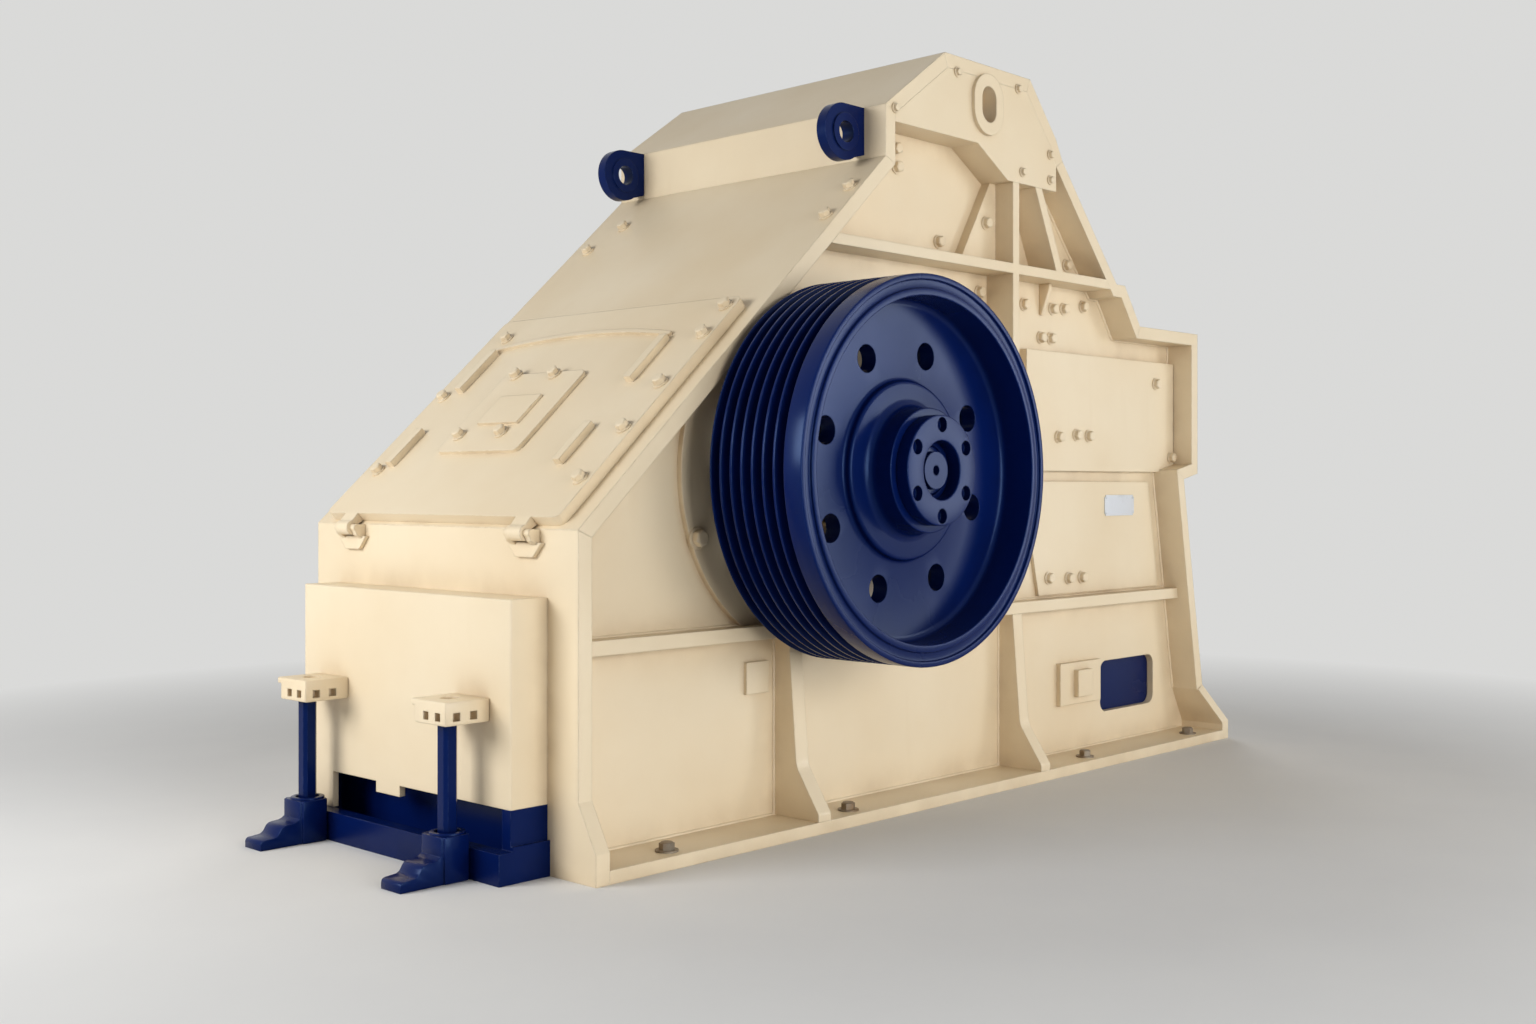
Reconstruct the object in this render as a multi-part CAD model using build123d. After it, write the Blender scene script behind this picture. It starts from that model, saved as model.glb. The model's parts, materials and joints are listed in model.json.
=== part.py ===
"""Horizontal-shaft impact crusher: welded plate housing, rotor, V-belt pulley, access hatch."""

import math
import os

from build123d import *

# Frame: X along the machine with the front end at negative X, Y across it, Z up from the floor.

# Housing widths: half the width over the rims, and how far walls and base lie from them
RIM_HALF = 693.0
RIM_DEPTH = 124.0
WALL_THICK = 30.0
PLATE_THICK = 52.0
BASE_REACH = 78.0

# Side outline, from the front foot over the roof to the rear foot
FRONT_X = -1907.0
BEND_Z = 1009.0
SLOPE_RUN = 1387.0
SLOPE_RISE = 1277.0
CROWN_RISE = 182.0
ROOF_RUN = 339.0
ROOF_RISE = 244.0
RIDGE_RUN = 544.0
SHOULDER_RUN = 182.0
SHOULDER_DROP = 205.0
NECK_RUN = 45.0
NECK_DROP = 78.0
REAR_SLOPE_RUN = 410.0
REAR_SLOPE_DROP = 454.0
LEDGE_RUN = 65.0
LEDGE_SLOPE_RUN = 122.0
LEDGE_SLOPE_DROP = 162.0
BOX_RUN = 497.0
BOX_HEIGHT = 623.0
BOX_FOOT_RUN = 122.0
BOX_FOOT_DROP = 25.0
REAR_RUN = 166.0
REAR_FLARE_Z = 242.0
REAR_FLARE_RUN = 92.0
REAR_TOE_Z = 80.0

# Front plate and its opening
FLARE_TOP_Z = 229.0
FLARE_LOW_Z = 91.0
FRONT_OPEN_SIDE = 79.0
FRONT_OPEN_Z = 640.0

# Base flange and foundation slots
BASE_THICK = 40.0
SLOT_SETBACK = 334.0
SLOT_REAR_SETBACK = 247.0
SLOT_STEP = 837.0
SLOT_EDGE = 66.0
SLOT_RADIUS = 18.0
SLOT_LENGTH = 40.0

# Ribs on the side walls
LOWER_RIB_Z = 635.0
LOWER_RIB_THICK = 45.0
LOWER_RIB_DEPTH = 70.0
GUSSET_THICK = 60.0
GUSSET_SETBACK = 977.0
GUSSET_STEP = 1285.0
GUSSET_KNEE_Z = 211.0
GUSSET_KNEE_DEPTH = 104.0
GUSSET_TOE_RISE = 25.0
GUSSET_KNEE_RADIUS = 90.0
GUSSET_TOE_RADIUS = 18.0
UPPER_RIB_DROP = 350.0
UPPER_RIB_THICK = 38.0
MID_RIB_OFFSET = 93.0
MID_RIB_THICK = 40.0
MID_RIB_LENGTH = 1120.0
BRACE_OFFSET = 130.0
BRACE_RUN = 148.0
BRACE_THICK = 45.0
DOUBLER_RUN = 188.0
DOUBLER_THICK = 40.0

# Top cheek that carries the apron shaft
CHEEK_DROP = 55.0
CHEEK_KNEE_RUN = 203.0
CHEEK_LOW_RUN = 193.0
CHEEK_LOW_DROP = 113.0
PIVOT_RUN = 254.0
PIVOT_DROP = 172.0
PIVOT_RADIUS = 45.0
PIVOT_SLOT_RISE = 45.0
PIVOT_SLOT_DEPTH = 50.0
PIVOT_BOSS_WALL = 47.0
PIVOT_BOSS_RISE = 16.0

# Feed box side panel, side panel and feed opening
PANEL_OFFSET = 204.0
PANEL_THICK = 34.0
PANEL_TOP_DROP = 133.0
PANEL_END_GAP = 6.0
SIDE_PANEL_FOOT = 111.0
SIDE_PANEL_THICK = 16.0
SIDE_PANEL_GAP = 12.0
SIDE_PANEL_MARGIN = 70.0
FEED_SIDE = 79.0
FEED_MARGIN = 66.0

# Window, pads and panel on the lower side wall
WINDOW_SETBACK = 530.0
WINDOW_Z = 281.0
WINDOW_LENGTH = 440.0
WINDOW_HEIGHT = 216.0
WINDOW_CORNER = 45.0
WINDOW_LAP = 40.0
WINDOW_PLATE = 16.0
PAD_OFFSET = 403.0
PAD_Z = 318.0
PAD_LENGTH = 305.0
PAD_HEIGHT = 173.0
PAD_RISE = 22.0
BOSS_SIZE = 110.0
BOSS_RISE = 24.0
SMALL_PAD_OFFSET = 120.0
SMALL_PAD_DROP = 130.0
SMALL_PAD_SIZE = 105.0
SMALL_PAD_RISE = 14.0

# Shaft, bearings, pulley and rotor
SHAFT_SETBACK = 1110.0
SHAFT_Z = 1184.0
SHAFT_RADIUS = 80.0
SHAFT_FIT = 0.05
SHAFT_BEVEL = 6.0
SHAFT_END_REACH = 24.0
SHAFT_FAR_REACH = 13.0
SHAFT_PASS_GAP = 30.0
SPIGOT_RADIUS = 60.0
CENTRE_HOLE_RADIUS = 16.0
CENTRE_HOLE_DEPTH = 24.0
COVER_RADIUS = 605.0
COVER_THICK = 20.0
BEARING_WALL = 105.0
BEARING_FLANGE = 65.0
BEARING_FLANGE_THICK = 36.0
BEARING_LENGTH = 126.0
PULLEY_RADIUS = 625.0
PULLEY_GAP = 41.0
PULLEY_WIDTH = 378.0
PULLEY_RIM_WALL = 70.0
GROOVE_COUNT = 7
GROOVE_PITCH = 44.5
GROOVE_DEPTH = 30.0
GROOVE_TOP = 36.0
WEB_RECESS = 125.0
WEB_THICK = 58.0
WEB_RING_RADIUS = 290.0
WEB_RING_RISE = 26.0
HUB_RADIUS = 200.0
HUB_RECESS = 12.0
HUB_BACK_GAP = 36.0
WEB_HOLE_COUNT = 8
WEB_HOLE_RADIUS = 45.0
WEB_HOLE_CIRCLE = 395.0
WEB_HOLE_TURN = 27.0
FACE_STEP = 9.0
FACE_STEP_EDGE = 19.0
FACE_STEP_WIDTH = 28.0
CLAMP_RADIUS = 176.0
CLAMP_BORE = 94.0
CLAMP_THICK = 48.0
ROTOR_CLEARANCE = 51.0
ROTOR_SIDE_GAP = 49.0
BAR_COUNT = 4
BAR_TURN = 45.0
BAR_REACH = 70.0
BAR_THICK = 90.0
BAR_SEAT = 120.0

# Apron and feed pan inside the housing
APRON_RUN = 403.0
APRON_FALL = 740.0
APRON_THICK = 90.0
APRON_SIDE_GAP = 20.0
APRON_EYE_WALL = 50.0
PAN_START_SETBACK = 82.0
PAN_START_RISE = 100.0
PAN_GAP = 127.0
PAN_END_DROP = 94.0
PAN_THICK = 30.0

# Access hatch on the front slope
HATCH_START = 14.0
HATCH_LENGTH = 1040.0
HATCH_EDGE = 75.0
HATCH_THICK = 36.0
HATCH_CORNER = 28.0
HATCH_LAP = 100.0
HATCH_SIDE_LAP = 118.0
HATCH_RIB_NEAR_EDGE = 198.0
HATCH_RIB_FAR_EDGE = 138.0
HATCH_RIB_WIDTH = 34.0
HATCH_RIB_RISE = 24.0
HATCH_RIB_LOW = 316.0
HATCH_RIB_LOW_LENGTH = 175.0
HATCH_RIB_STEP = 410.0
HATCH_RIB_HIGH_LENGTH = 215.0
HATCH_RIDGE_STEP = 130.0
HATCH_RIDGE_BOW = 45.0
HATCH_RIDGE_WIDTH = 18.0
HATCH_RIDGE_RISE = 12.0
HATCH_LID = 486.0
HATCH_LID_LENGTH = 400.0
HATCH_LID_Y = 55.0
HATCH_LID_WIDTH = 430.0
HATCH_LID_RISE = 14.0
HATCH_LID_CORNER = 24.0
HATCH_PLATE_LENGTH = 140.0
HATCH_PLATE_WIDTH = 215.0
HATCH_PLATE_RISE = 10.0
HINGE_REACH = 32.0
HINGE_DROP = 12.0
HINGE_EDGE = 158.0
HINGE_WALL = 12.0
PIN_RADIUS = 12.0
PIN_FIT = 0.05
KNUCKLE_WIDTH = 70.0
EAR_WIDTH = 24.0
EAR_GAP = 1.0
EAR_LAP = 16.0
LEAF_HALF = 82.0
LEAF_FOOT_HALF = 42.0
LEAF_GAP = 4.0
LEAF_DROP = 44.0
LEAF_THICK = 14.0

# Front hood
HOOD_DEPTH = 134.0
HOOD_EDGE = 138.0
HOOD_LOW_Z = 208.0
HOOD_HEIGHT = 602.0
HOOD_PLATE = 20.0
HOOD_ROUND = 6.0
LEG_WIDTH = 176.0
TAB_OFFSET = 490.0
TAB_WIDTH = 130.0
TAB_DROP = 34.0

# Lower frame, spindles and their blocks and heads
FRAME_CHEEK = 40.0
FRAME_BACK = 20.0
FRAME_STEP = 12.0
FRAME_STEP_Z = 105.0
BEAM_DEPTH = 50.0
BEAM_Z = 92.0
SPINDLE_EDGE = 175.0
SPINDLE_REACH = 93.0
SPINDLE_SIZE = 48.0
SPINDLE_CHAMFER = 10.0
BLOCK_HALF = 57.0
BLOCK_DEPTH = 99.0
BLOCK_Z = 135.0
BLOCK_BEVEL = 10.0
TOE_HALF = 48.0
TOE_UPPER_RUN = 72.0
TOE_UPPER_Z = 66.0
TOE_TIP_RUN = 63.0
TOE_TIP_Z = 32.0
TOE_BEVEL = 9.0
HEAD_DEPTH = 147.0
HEAD_HALF = 78.0
HEAD_LOW_Z = 453.0
HEAD_HEIGHT = 69.0
HEAD_CAP = 20.0
HEAD_LAP = 14.0
HEAD_BEVEL = 6.0

# Lifting lugs
LUG_EDGE = 118.0
LUG_THICK = 40.0
LUG_REACH = 208.0
LUG_HEIGHT = 198.0
LUG_TOP_GAP = 2.0
LUG_ROOT_RISE = 32.0
LUG_HOLE_SETBACK = 102.0
LUG_HOLE_RADIUS = 38.0
LUG_RING_WALL = 28.0
LUG_RING_RISE = 6.0

# Places that follow from the sizes above
WALL_HALF = RIM_HALF - RIM_DEPTH
WALL_INNER = WALL_HALF - WALL_THICK
BASE_HALF = RIM_HALF + BASE_REACH
CROWN_X = FRONT_X + SLOPE_RUN
SLOPE_TOP_Z = BEND_Z + SLOPE_RISE
CROWN_Z = SLOPE_TOP_Z + CROWN_RISE
RIDGE_FRONT_X = CROWN_X + ROOF_RUN
RIDGE_Z = CROWN_Z + ROOF_RISE
RIDGE_REAR_X = RIDGE_FRONT_X + RIDGE_RUN
SHOULDER_X = RIDGE_REAR_X + SHOULDER_RUN
SHOULDER_Z = RIDGE_Z - SHOULDER_DROP
NECK_X = SHOULDER_X + NECK_RUN
NECK_Z = SHOULDER_Z - NECK_DROP
LEDGE_X = NECK_X + REAR_SLOPE_RUN
LEDGE_Z = NECK_Z - REAR_SLOPE_DROP
LEDGE_END_X = LEDGE_X + LEDGE_RUN
BOX_START_X = LEDGE_END_X + LEDGE_SLOPE_RUN
BOX_TOP_Z = LEDGE_Z - LEDGE_SLOPE_DROP
BOX_END_X = BOX_START_X + BOX_RUN
BOX_FOOT_Z = BOX_TOP_Z - BOX_HEIGHT
REAR_TOP_X = BOX_END_X - BOX_FOOT_RUN
REAR_TOP_Z = BOX_FOOT_Z - BOX_FOOT_DROP
REAR_FOOT_X = REAR_TOP_X + REAR_RUN
REAR_END_X = REAR_FOOT_X + REAR_FLARE_RUN
SLOT_XS = (
    FRONT_X + SLOT_SETBACK,
    FRONT_X + SLOT_SETBACK + SLOT_STEP,
    REAR_END_X - SLOT_REAR_SETBACK - SLOT_STEP,
    REAR_END_X - SLOT_REAR_SETBACK,
)
SLOT_Y = BASE_HALF - SLOT_EDGE
FRONT_GUSSET_X = FRONT_X + GUSSET_SETBACK
REAR_GUSSET_X = FRONT_GUSSET_X + GUSSET_STEP
CHEEK_Z = CROWN_Z - CHEEK_DROP
CHEEK_LOW_Z = CHEEK_Z - CHEEK_LOW_DROP
CHEEK_KNEE_X = RIDGE_FRONT_X + CHEEK_KNEE_RUN
CHEEK_LOW_X = CHEEK_KNEE_X + CHEEK_LOW_RUN
PIVOT_X = RIDGE_FRONT_X + PIVOT_RUN
PIVOT_Z = RIDGE_Z - PIVOT_DROP
UPPER_RIB_Z = CHEEK_LOW_Z - UPPER_RIB_DROP
MID_RIB_X = RIDGE_REAR_X - MID_RIB_OFFSET
PANEL_X = MID_RIB_X + PANEL_OFFSET
WINDOW_X = REAR_END_X - WINDOW_SETBACK
PAD_X = WINDOW_X - PAD_OFFSET
SMALL_PAD_X = FRONT_GUSSET_X - SMALL_PAD_OFFSET
SMALL_PAD_Z = LOWER_RIB_Z - SMALL_PAD_DROP
SHAFT_X = FRONT_X + SHAFT_SETBACK
BEARING_RADIUS = SHAFT_RADIUS + BEARING_WALL
PULLEY_BACK_Y = -RIM_HALF - PULLEY_GAP
PULLEY_FRONT_Y = PULLEY_BACK_Y - PULLEY_WIDTH
PULLEY_RIM_RADIUS = PULLEY_RADIUS - PULLEY_RIM_WALL
WEB_FACE_Y = PULLEY_FRONT_Y + WEB_RECESS
HUB_FRONT_Y = PULLEY_FRONT_Y + HUB_RECESS
HUB_BACK_Y = PULLEY_BACK_Y - HUB_BACK_GAP
SHAFT_NEAR_Y = HUB_FRONT_Y - SHAFT_END_REACH
SHAFT_FAR_Y = WALL_HALF + COVER_THICK + BEARING_LENGTH + SHAFT_FAR_REACH
HATCH_HALF = RIM_HALF - HATCH_EDGE
HATCH_END = HATCH_START + HATCH_LENGTH
HINGE_X = FRONT_X - HINGE_REACH
HINGE_Z = BEND_Z - HINGE_DROP
HINGE_Y = HATCH_HALF - HINGE_EDGE
HINGE_RADIUS = PIN_RADIUS + HINGE_WALL
HOOD_HALF = RIM_HALF - HOOD_EDGE
HOOD_FRONT_X = FRONT_X - HOOD_DEPTH
HOOD_TOP_Z = HOOD_LOW_Z + HOOD_HEIGHT
SPINDLE_Y = HOOD_HALF - SPINDLE_EDGE
BEAM_FRONT_X = HOOD_FRONT_X - BEAM_DEPTH
SPINDLE_X = HOOD_FRONT_X - SPINDLE_REACH
BLOCK_FRONT_X = BEAM_FRONT_X - BLOCK_DEPTH
TOE_UPPER_X = BLOCK_FRONT_X - TOE_UPPER_RUN
TOE_TIP_X = TOE_UPPER_X - TOE_TIP_RUN
HEAD_FRONT_X = HOOD_FRONT_X - HEAD_DEPTH
HEAD_TOP_Z = HEAD_LOW_Z + HEAD_HEIGHT
LUG_Y = RIM_HALF - LUG_EDGE
LUG_TOP_Z = CROWN_Z - LUG_TOP_GAP
LUG_LOW_Z = LUG_TOP_Z - LUG_HEIGHT
LUG_ROOT_Z = LUG_LOW_Z + LUG_ROOT_RISE
LUG_HOLE_X = CROWN_X - LUG_HOLE_SETBACK
LUG_HOLE_Z = (LUG_TOP_Z + LUG_LOW_Z) / 2
SLOPE = math.atan2(SLOPE_RISE, SLOPE_RUN)
SLOPE_CLEAR = SHAFT_SETBACK * math.sin(SLOPE) - (SHAFT_Z - BEND_Z) * math.cos(SLOPE) - PLATE_THICK
ROTOR_TIP = SLOPE_CLEAR - ROTOR_CLEARANCE
ROTOR_RADIUS = ROTOR_TIP - BAR_REACH
ROTOR_HALF = WALL_INNER - ROTOR_SIDE_GAP
PAN_START_X = REAR_TOP_X - PAN_START_SETBACK
PAN_START_Z = BOX_FOOT_Z + PAN_START_RISE
PAN_END_X = SHAFT_X + ROTOR_TIP + PAN_GAP
PAN_END_Z = SHAFT_Z - PAN_END_DROP


def inset(points, depth):
    """Moves an open run of points to its right-hand side by the depth."""
    lines = []
    for (ax, az), (bx, bz) in zip(points, points[1:]):
        length = math.hypot(bx - ax, bz - az)
        ux, uz = (bx - ax) / length, (bz - az) / length
        lines.append(((ax + uz * depth, az - ux * depth), (ux, uz)))
    moved = [lines[0][0]]
    for ((ax, az), (aux, auz)), ((bx, bz), (bux, buz)) in zip(lines, lines[1:]):
        cross = aux * buz - auz * bux
        run = ((bx - ax) * buz - (bz - az) * bux) / cross
        moved.append((ax + aux * run, az + auz * run))
    (lx, lz), (lux, luz) = lines[-1]
    ax, az = points[-1]
    run = (ax - lx) * lux + (az - lz) * luz
    moved.append((lx + lux * run, lz + luz * run))
    return moved


def prism(points, y0, y1):
    """Extrudes a polygon of X and Z points from one Y to another."""
    face = make_face(Polyline(*[(x, y0, z) for x, z in points], close=True))
    return extrude(face, amount=y1 - y0, dir=(0, 1, 0))


def cross_prism(points, x0, x1):
    """Extrudes a polygon of Y and Z points from one X to another."""
    face = make_face(Polyline(*[(x0, y, z) for y, z in points], close=True))
    return extrude(face, amount=x1 - x0, dir=(1, 0, 0))


def block(x0, x1, y0, y1, z0, z1):
    """Makes a box from its limits."""
    centre = Pos((x0 + x1) / 2, (y0 + y1) / 2, (z0 + z1) / 2)
    return centre * Box(x1 - x0, y1 - y0, z1 - z0)


def rod(x, z, radius, y0, y1):
    """Makes a cylinder along Y."""
    return Pos(x, (y0 + y1) / 2, z) * Rot(90, 0, 0) * Cylinder(radius, y1 - y0)


def post(x, y, radius, z0, z1):
    """Makes an upright cylinder."""
    return Pos(x, y, (z0 + z1) / 2) * Cylinder(radius, z1 - z0)


def far(shape):
    """Mirrors a near-side shape to the far side."""
    return mirror(shape, about=Plane.XZ)


OUTLINE = [
    (FRONT_X, 0.0),
    (FRONT_X, BEND_Z),
    (CROWN_X, SLOPE_TOP_Z),
    (CROWN_X, CROWN_Z),
    (RIDGE_FRONT_X, RIDGE_Z),
    (RIDGE_REAR_X, RIDGE_Z),
    (SHOULDER_X, SHOULDER_Z),
    (NECK_X, NECK_Z),
    (LEDGE_X, LEDGE_Z),
    (LEDGE_END_X, LEDGE_Z),
    (BOX_START_X, BOX_TOP_Z),
    (BOX_END_X, BOX_TOP_Z),
    (BOX_END_X, BOX_FOOT_Z),
    (REAR_TOP_X, REAR_TOP_Z),
    (REAR_FOOT_X, REAR_FLARE_Z),
    (REAR_END_X, REAR_TOE_Z),
    (REAR_END_X, 0.0),
]
INNER = inset(OUTLINE, PLATE_THICK)
PANEL_INNER = inset(OUTLINE, PLATE_THICK + SIDE_PANEL_MARGIN)
SLOPE_PLANE = Plane(
    origin=(FRONT_X, 0, BEND_Z),
    x_dir=(math.cos(SLOPE), 0, math.sin(SLOPE)),
    z_dir=(-math.sin(SLOPE), 0, math.cos(SLOPE)),
)


def on_slope(along, out):
    """Gives X and Z of a point along the front slope and out from it."""
    x = FRONT_X + along * math.cos(SLOPE) - out * math.sin(SLOPE)
    z = BEND_Z + along * math.sin(SLOPE) + out * math.cos(SLOPE)
    return (x, z)


def strip(first, last):
    """Makes the rim plate that follows the outline between two of its points."""
    outer = OUTLINE[first : last + 1]
    inner = INNER[first : last + 1]
    return prism(outer + inner[::-1], -RIM_HALF, RIM_HALF)


def inside(shape):
    """Keeps what lies within the rim plates."""
    return shape & prism(INNER, -BASE_HALF, BASE_HALF)


def front_plate():
    """Upright front plate with flared feet and the opening behind the hood."""
    plate = strip(0, 1)
    rear = FRONT_X + PLATE_THICK
    foot = [
        (-RIM_HALF, FLARE_TOP_Z),
        (-BASE_HALF, FLARE_LOW_Z),
        (-BASE_HALF, 0.0),
        (-RIM_HALF, 0.0),
    ]
    flare = cross_prism(foot, FRONT_X, rear)
    side = WALL_HALF - FRONT_OPEN_SIDE
    hole = block(FRONT_X, rear, -side, side, 0.0, FRONT_OPEN_Z)
    return plate + flare + far(flare) - hole


def slope_frame():
    """Sloping front plate with the hatch opening."""
    middle = Pos((HATCH_START + HATCH_END) / 2, 0)
    length = HATCH_LENGTH - 2 * HATCH_LAP
    opening = middle * Rectangle(length, 2 * (HATCH_HALF - HATCH_SIDE_LAP))
    return strip(1, 2) - SLOPE_PLANE * extrude(opening, amount=-PLATE_THICK)


def feed_box():
    """Top, end and bottom of the feed box, with the feed opening in its end."""
    low = BOX_FOOT_Z + FEED_MARGIN
    high = BOX_TOP_Z - FEED_MARGIN
    side = WALL_HALF - FEED_SIDE
    hole = block(BOX_END_X - PLATE_THICK, BOX_END_X, -side, side, low, high)
    return strip(10, 13) - hole


def rear_plate():
    """Rear plate whose foot flares out to the edges of the base."""
    outer = OUTLINE[14:]
    inner = INNER[14:]
    foot = prism(outer + inner[::-1], -BASE_HALF, BASE_HALF)
    limits = [
        (-RIM_HALF, REAR_FLARE_Z + PLATE_THICK),
        (-RIM_HALF, REAR_FLARE_Z),
        (-BASE_HALF, REAR_TOE_Z),
        (-BASE_HALF, 0.0),
        (BASE_HALF, 0.0),
        (BASE_HALF, REAR_TOE_Z),
        (RIM_HALF, REAR_FLARE_Z),
        (RIM_HALF, REAR_FLARE_Z + PLATE_THICK),
    ]
    foot &= cross_prism(limits, 0.0, REAR_END_X)
    return strip(13, 14) + foot


def near_wall():
    """Side wall with window, shaft hole, apron bore and weld-on pads."""
    wall = prism(INNER, -WALL_HALF, -WALL_INNER)
    wall -= rod(SHAFT_X, SHAFT_Z, SHAFT_RADIUS + SHAFT_PASS_GAP, -WALL_HALF, -WALL_INNER)
    wall -= rod(PIVOT_X, PIVOT_Z, PIVOT_RADIUS, -WALL_HALF, -WALL_INNER)
    opening = Pos(WINDOW_X, -WALL_HALF, WINDOW_Z) * Rot(90, 0, 0)
    opening *= RectangleRounded(WINDOW_LENGTH, WINDOW_HEIGHT, WINDOW_CORNER)
    wall -= extrude(opening, amount=WALL_THICK, dir=(0, 1, 0))
    pad_y = -WALL_HALF - PAD_RISE
    half_l = PAD_LENGTH / 2
    half_h = PAD_HEIGHT / 2
    wall += block(PAD_X - half_l, PAD_X + half_l, pad_y, -WALL_HALF, PAD_Z - half_h, PAD_Z + half_h)
    half_b = BOSS_SIZE / 2
    boss_y = pad_y - BOSS_RISE
    wall += block(PAD_X - half_b, PAD_X + half_b, boss_y, pad_y, PAD_Z - half_b, PAD_Z + half_b)
    half_s = SMALL_PAD_SIZE / 2
    small_y = -WALL_HALF - SMALL_PAD_RISE
    wall += block(
        SMALL_PAD_X - half_s,
        SMALL_PAD_X + half_s,
        small_y,
        -WALL_HALF,
        SMALL_PAD_Z - half_s,
        SMALL_PAD_Z + half_s,
    )
    return wall


def near_base():
    """Base flange outside the wall, with foundation slots."""
    start = FRONT_X + PLATE_THICK
    flange = block(start, REAR_END_X - PLATE_THICK, -BASE_HALF, -WALL_HALF, 0.0, BASE_THICK)
    for x in SLOT_XS:
        half = SLOT_LENGTH / 2
        flange -= post(x - half, -SLOT_Y, SLOT_RADIUS, 0.0, BASE_THICK)
        flange -= post(x + half, -SLOT_Y, SLOT_RADIUS, 0.0, BASE_THICK)
        flange -= block(
            x - half, x + half, -SLOT_Y - SLOT_RADIUS, -SLOT_Y + SLOT_RADIUS, 0.0, BASE_THICK
        )
    return flange


def gusset(x):
    """Lower upright rib that flares out to the edge of the base."""
    outline = [
        (-WALL_HALF, LOWER_RIB_Z),
        (-WALL_HALF - LOWER_RIB_DEPTH, LOWER_RIB_Z),
        (-WALL_HALF - GUSSET_KNEE_DEPTH, GUSSET_KNEE_Z),
        (-BASE_HALF, BASE_THICK + GUSSET_TOE_RISE),
        (-BASE_HALF, BASE_THICK),
        (-WALL_HALF, BASE_THICK),
    ]
    start = x - GUSSET_THICK / 2
    face = make_face(Polyline(*[(start, y, z) for y, z in outline], close=True))
    knee = face.vertices().sort_by_distance((start, *outline[2]))[0]
    face = fillet(knee, GUSSET_KNEE_RADIUS)
    toe = face.vertices().sort_by_distance((start, *outline[3]))[0]
    face = fillet(toe, GUSSET_TOE_RADIUS)
    return extrude(face, amount=GUSSET_THICK, dir=(1, 0, 0))


def near_lower_rib():
    """Long horizontal rib low on the side wall."""
    top = LOWER_RIB_Z + LOWER_RIB_THICK
    outer = -WALL_HALF - LOWER_RIB_DEPTH
    return inside(block(FRONT_X, REAR_END_X, outer, -WALL_HALF, LOWER_RIB_Z, top))


def near_upper_ribs():
    """Upper horizontal rib, the upright rib through it and the brace beside the cheek."""
    top = UPPER_RIB_Z + UPPER_RIB_THICK
    rib = inside(block(FRONT_X, REAR_END_X, -RIM_HALF, -WALL_HALF, UPPER_RIB_Z, top))
    half = MID_RIB_THICK / 2
    left, right = MID_RIB_X - half, MID_RIB_X + half
    rib += block(left, right, -RIM_HALF, -WALL_HALF, CHEEK_LOW_Z - MID_RIB_LENGTH, CHEEK_LOW_Z)
    brace_top = MID_RIB_X + BRACE_OFFSET
    brace_foot = brace_top + BRACE_RUN
    brace = [
        (brace_top, CHEEK_LOW_Z),
        (brace_top + BRACE_THICK, CHEEK_LOW_Z),
        (brace_foot + BRACE_THICK, top),
        (brace_foot, top),
    ]
    rib += prism(brace, -RIM_HALF, -WALL_HALF)
    doubler = [
        (CHEEK_LOW_X - DOUBLER_RUN, top),
        (MID_RIB_X, top),
        (MID_RIB_X, CHEEK_LOW_Z),
        (CHEEK_LOW_X, CHEEK_LOW_Z),
    ]
    rib += prism(doubler, -WALL_HALF - DOUBLER_THICK, -WALL_HALF)
    return rib


def keyhole(radius, y0, y1):
    """Upright slot shape around the apron shaft."""
    top = PIVOT_Z + PIVOT_SLOT_RISE
    shape = rod(PIVOT_X, PIVOT_Z, radius, y0, y1) + rod(PIVOT_X, top, radius, y0, y1)
    return shape + block(PIVOT_X - radius, PIVOT_X + radius, y0, y1, PIVOT_Z, top)


def near_cheek():
    """Thick top cheek around the apron shaft, with the keyhole slot."""
    outline = [
        (CROWN_X, CHEEK_Z),
        (CHEEK_KNEE_X, CHEEK_Z),
        (CHEEK_LOW_X, CHEEK_LOW_Z),
        (SHOULDER_X, CHEEK_LOW_Z),
        (SHOULDER_X, RIDGE_Z),
        (CROWN_X, RIDGE_Z),
    ]
    cheek = inside(prism(outline, -RIM_HALF, -WALL_HALF))
    front = -RIM_HALF - PIVOT_BOSS_RISE
    cheek += keyhole(PIVOT_RADIUS + PIVOT_BOSS_WALL, front, -RIM_HALF)
    cheek -= rod(PIVOT_X, PIVOT_Z, PIVOT_RADIUS, -RIM_HALF, -WALL_HALF)
    return cheek - keyhole(PIVOT_RADIUS, front, -RIM_HALF + PIVOT_SLOT_DEPTH)


def near_panel():
    """Side panel of the feed box."""
    outer = -WALL_HALF - PANEL_THICK
    end = BOX_END_X - PLATE_THICK - PANEL_END_GAP
    low = BOX_FOOT_Z + PANEL_END_GAP
    return inside(block(PANEL_X, end, outer, -WALL_HALF, low, BOX_TOP_Z - PANEL_TOP_DROP))


def near_side_panel():
    """Panel on the wall between the lower rib and the feed box."""
    low = LOWER_RIB_Z + LOWER_RIB_THICK + SIDE_PANEL_GAP
    high = REAR_TOP_Z - SIDE_PANEL_GAP
    foot = PANEL_X + SIDE_PANEL_FOOT
    outline = [(foot, low), (REAR_END_X, low), (REAR_END_X, high), (PANEL_X, high)]
    panel = prism(outline, -WALL_HALF - SIDE_PANEL_THICK, -WALL_HALF)
    return panel & prism(PANEL_INNER, -BASE_HALF, BASE_HALF)


def near_window_panel():
    """Inner panel that closes the window in the side wall."""
    half_l = WINDOW_LENGTH / 2 + WINDOW_LAP
    half_h = WINDOW_HEIGHT / 2 + WINDOW_LAP
    inner = -WALL_INNER + WINDOW_PLATE
    return block(
        WINDOW_X - half_l, WINDOW_X + half_l, -WALL_INNER, inner, WINDOW_Z - half_h, WINDOW_Z + half_h
    )


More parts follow.
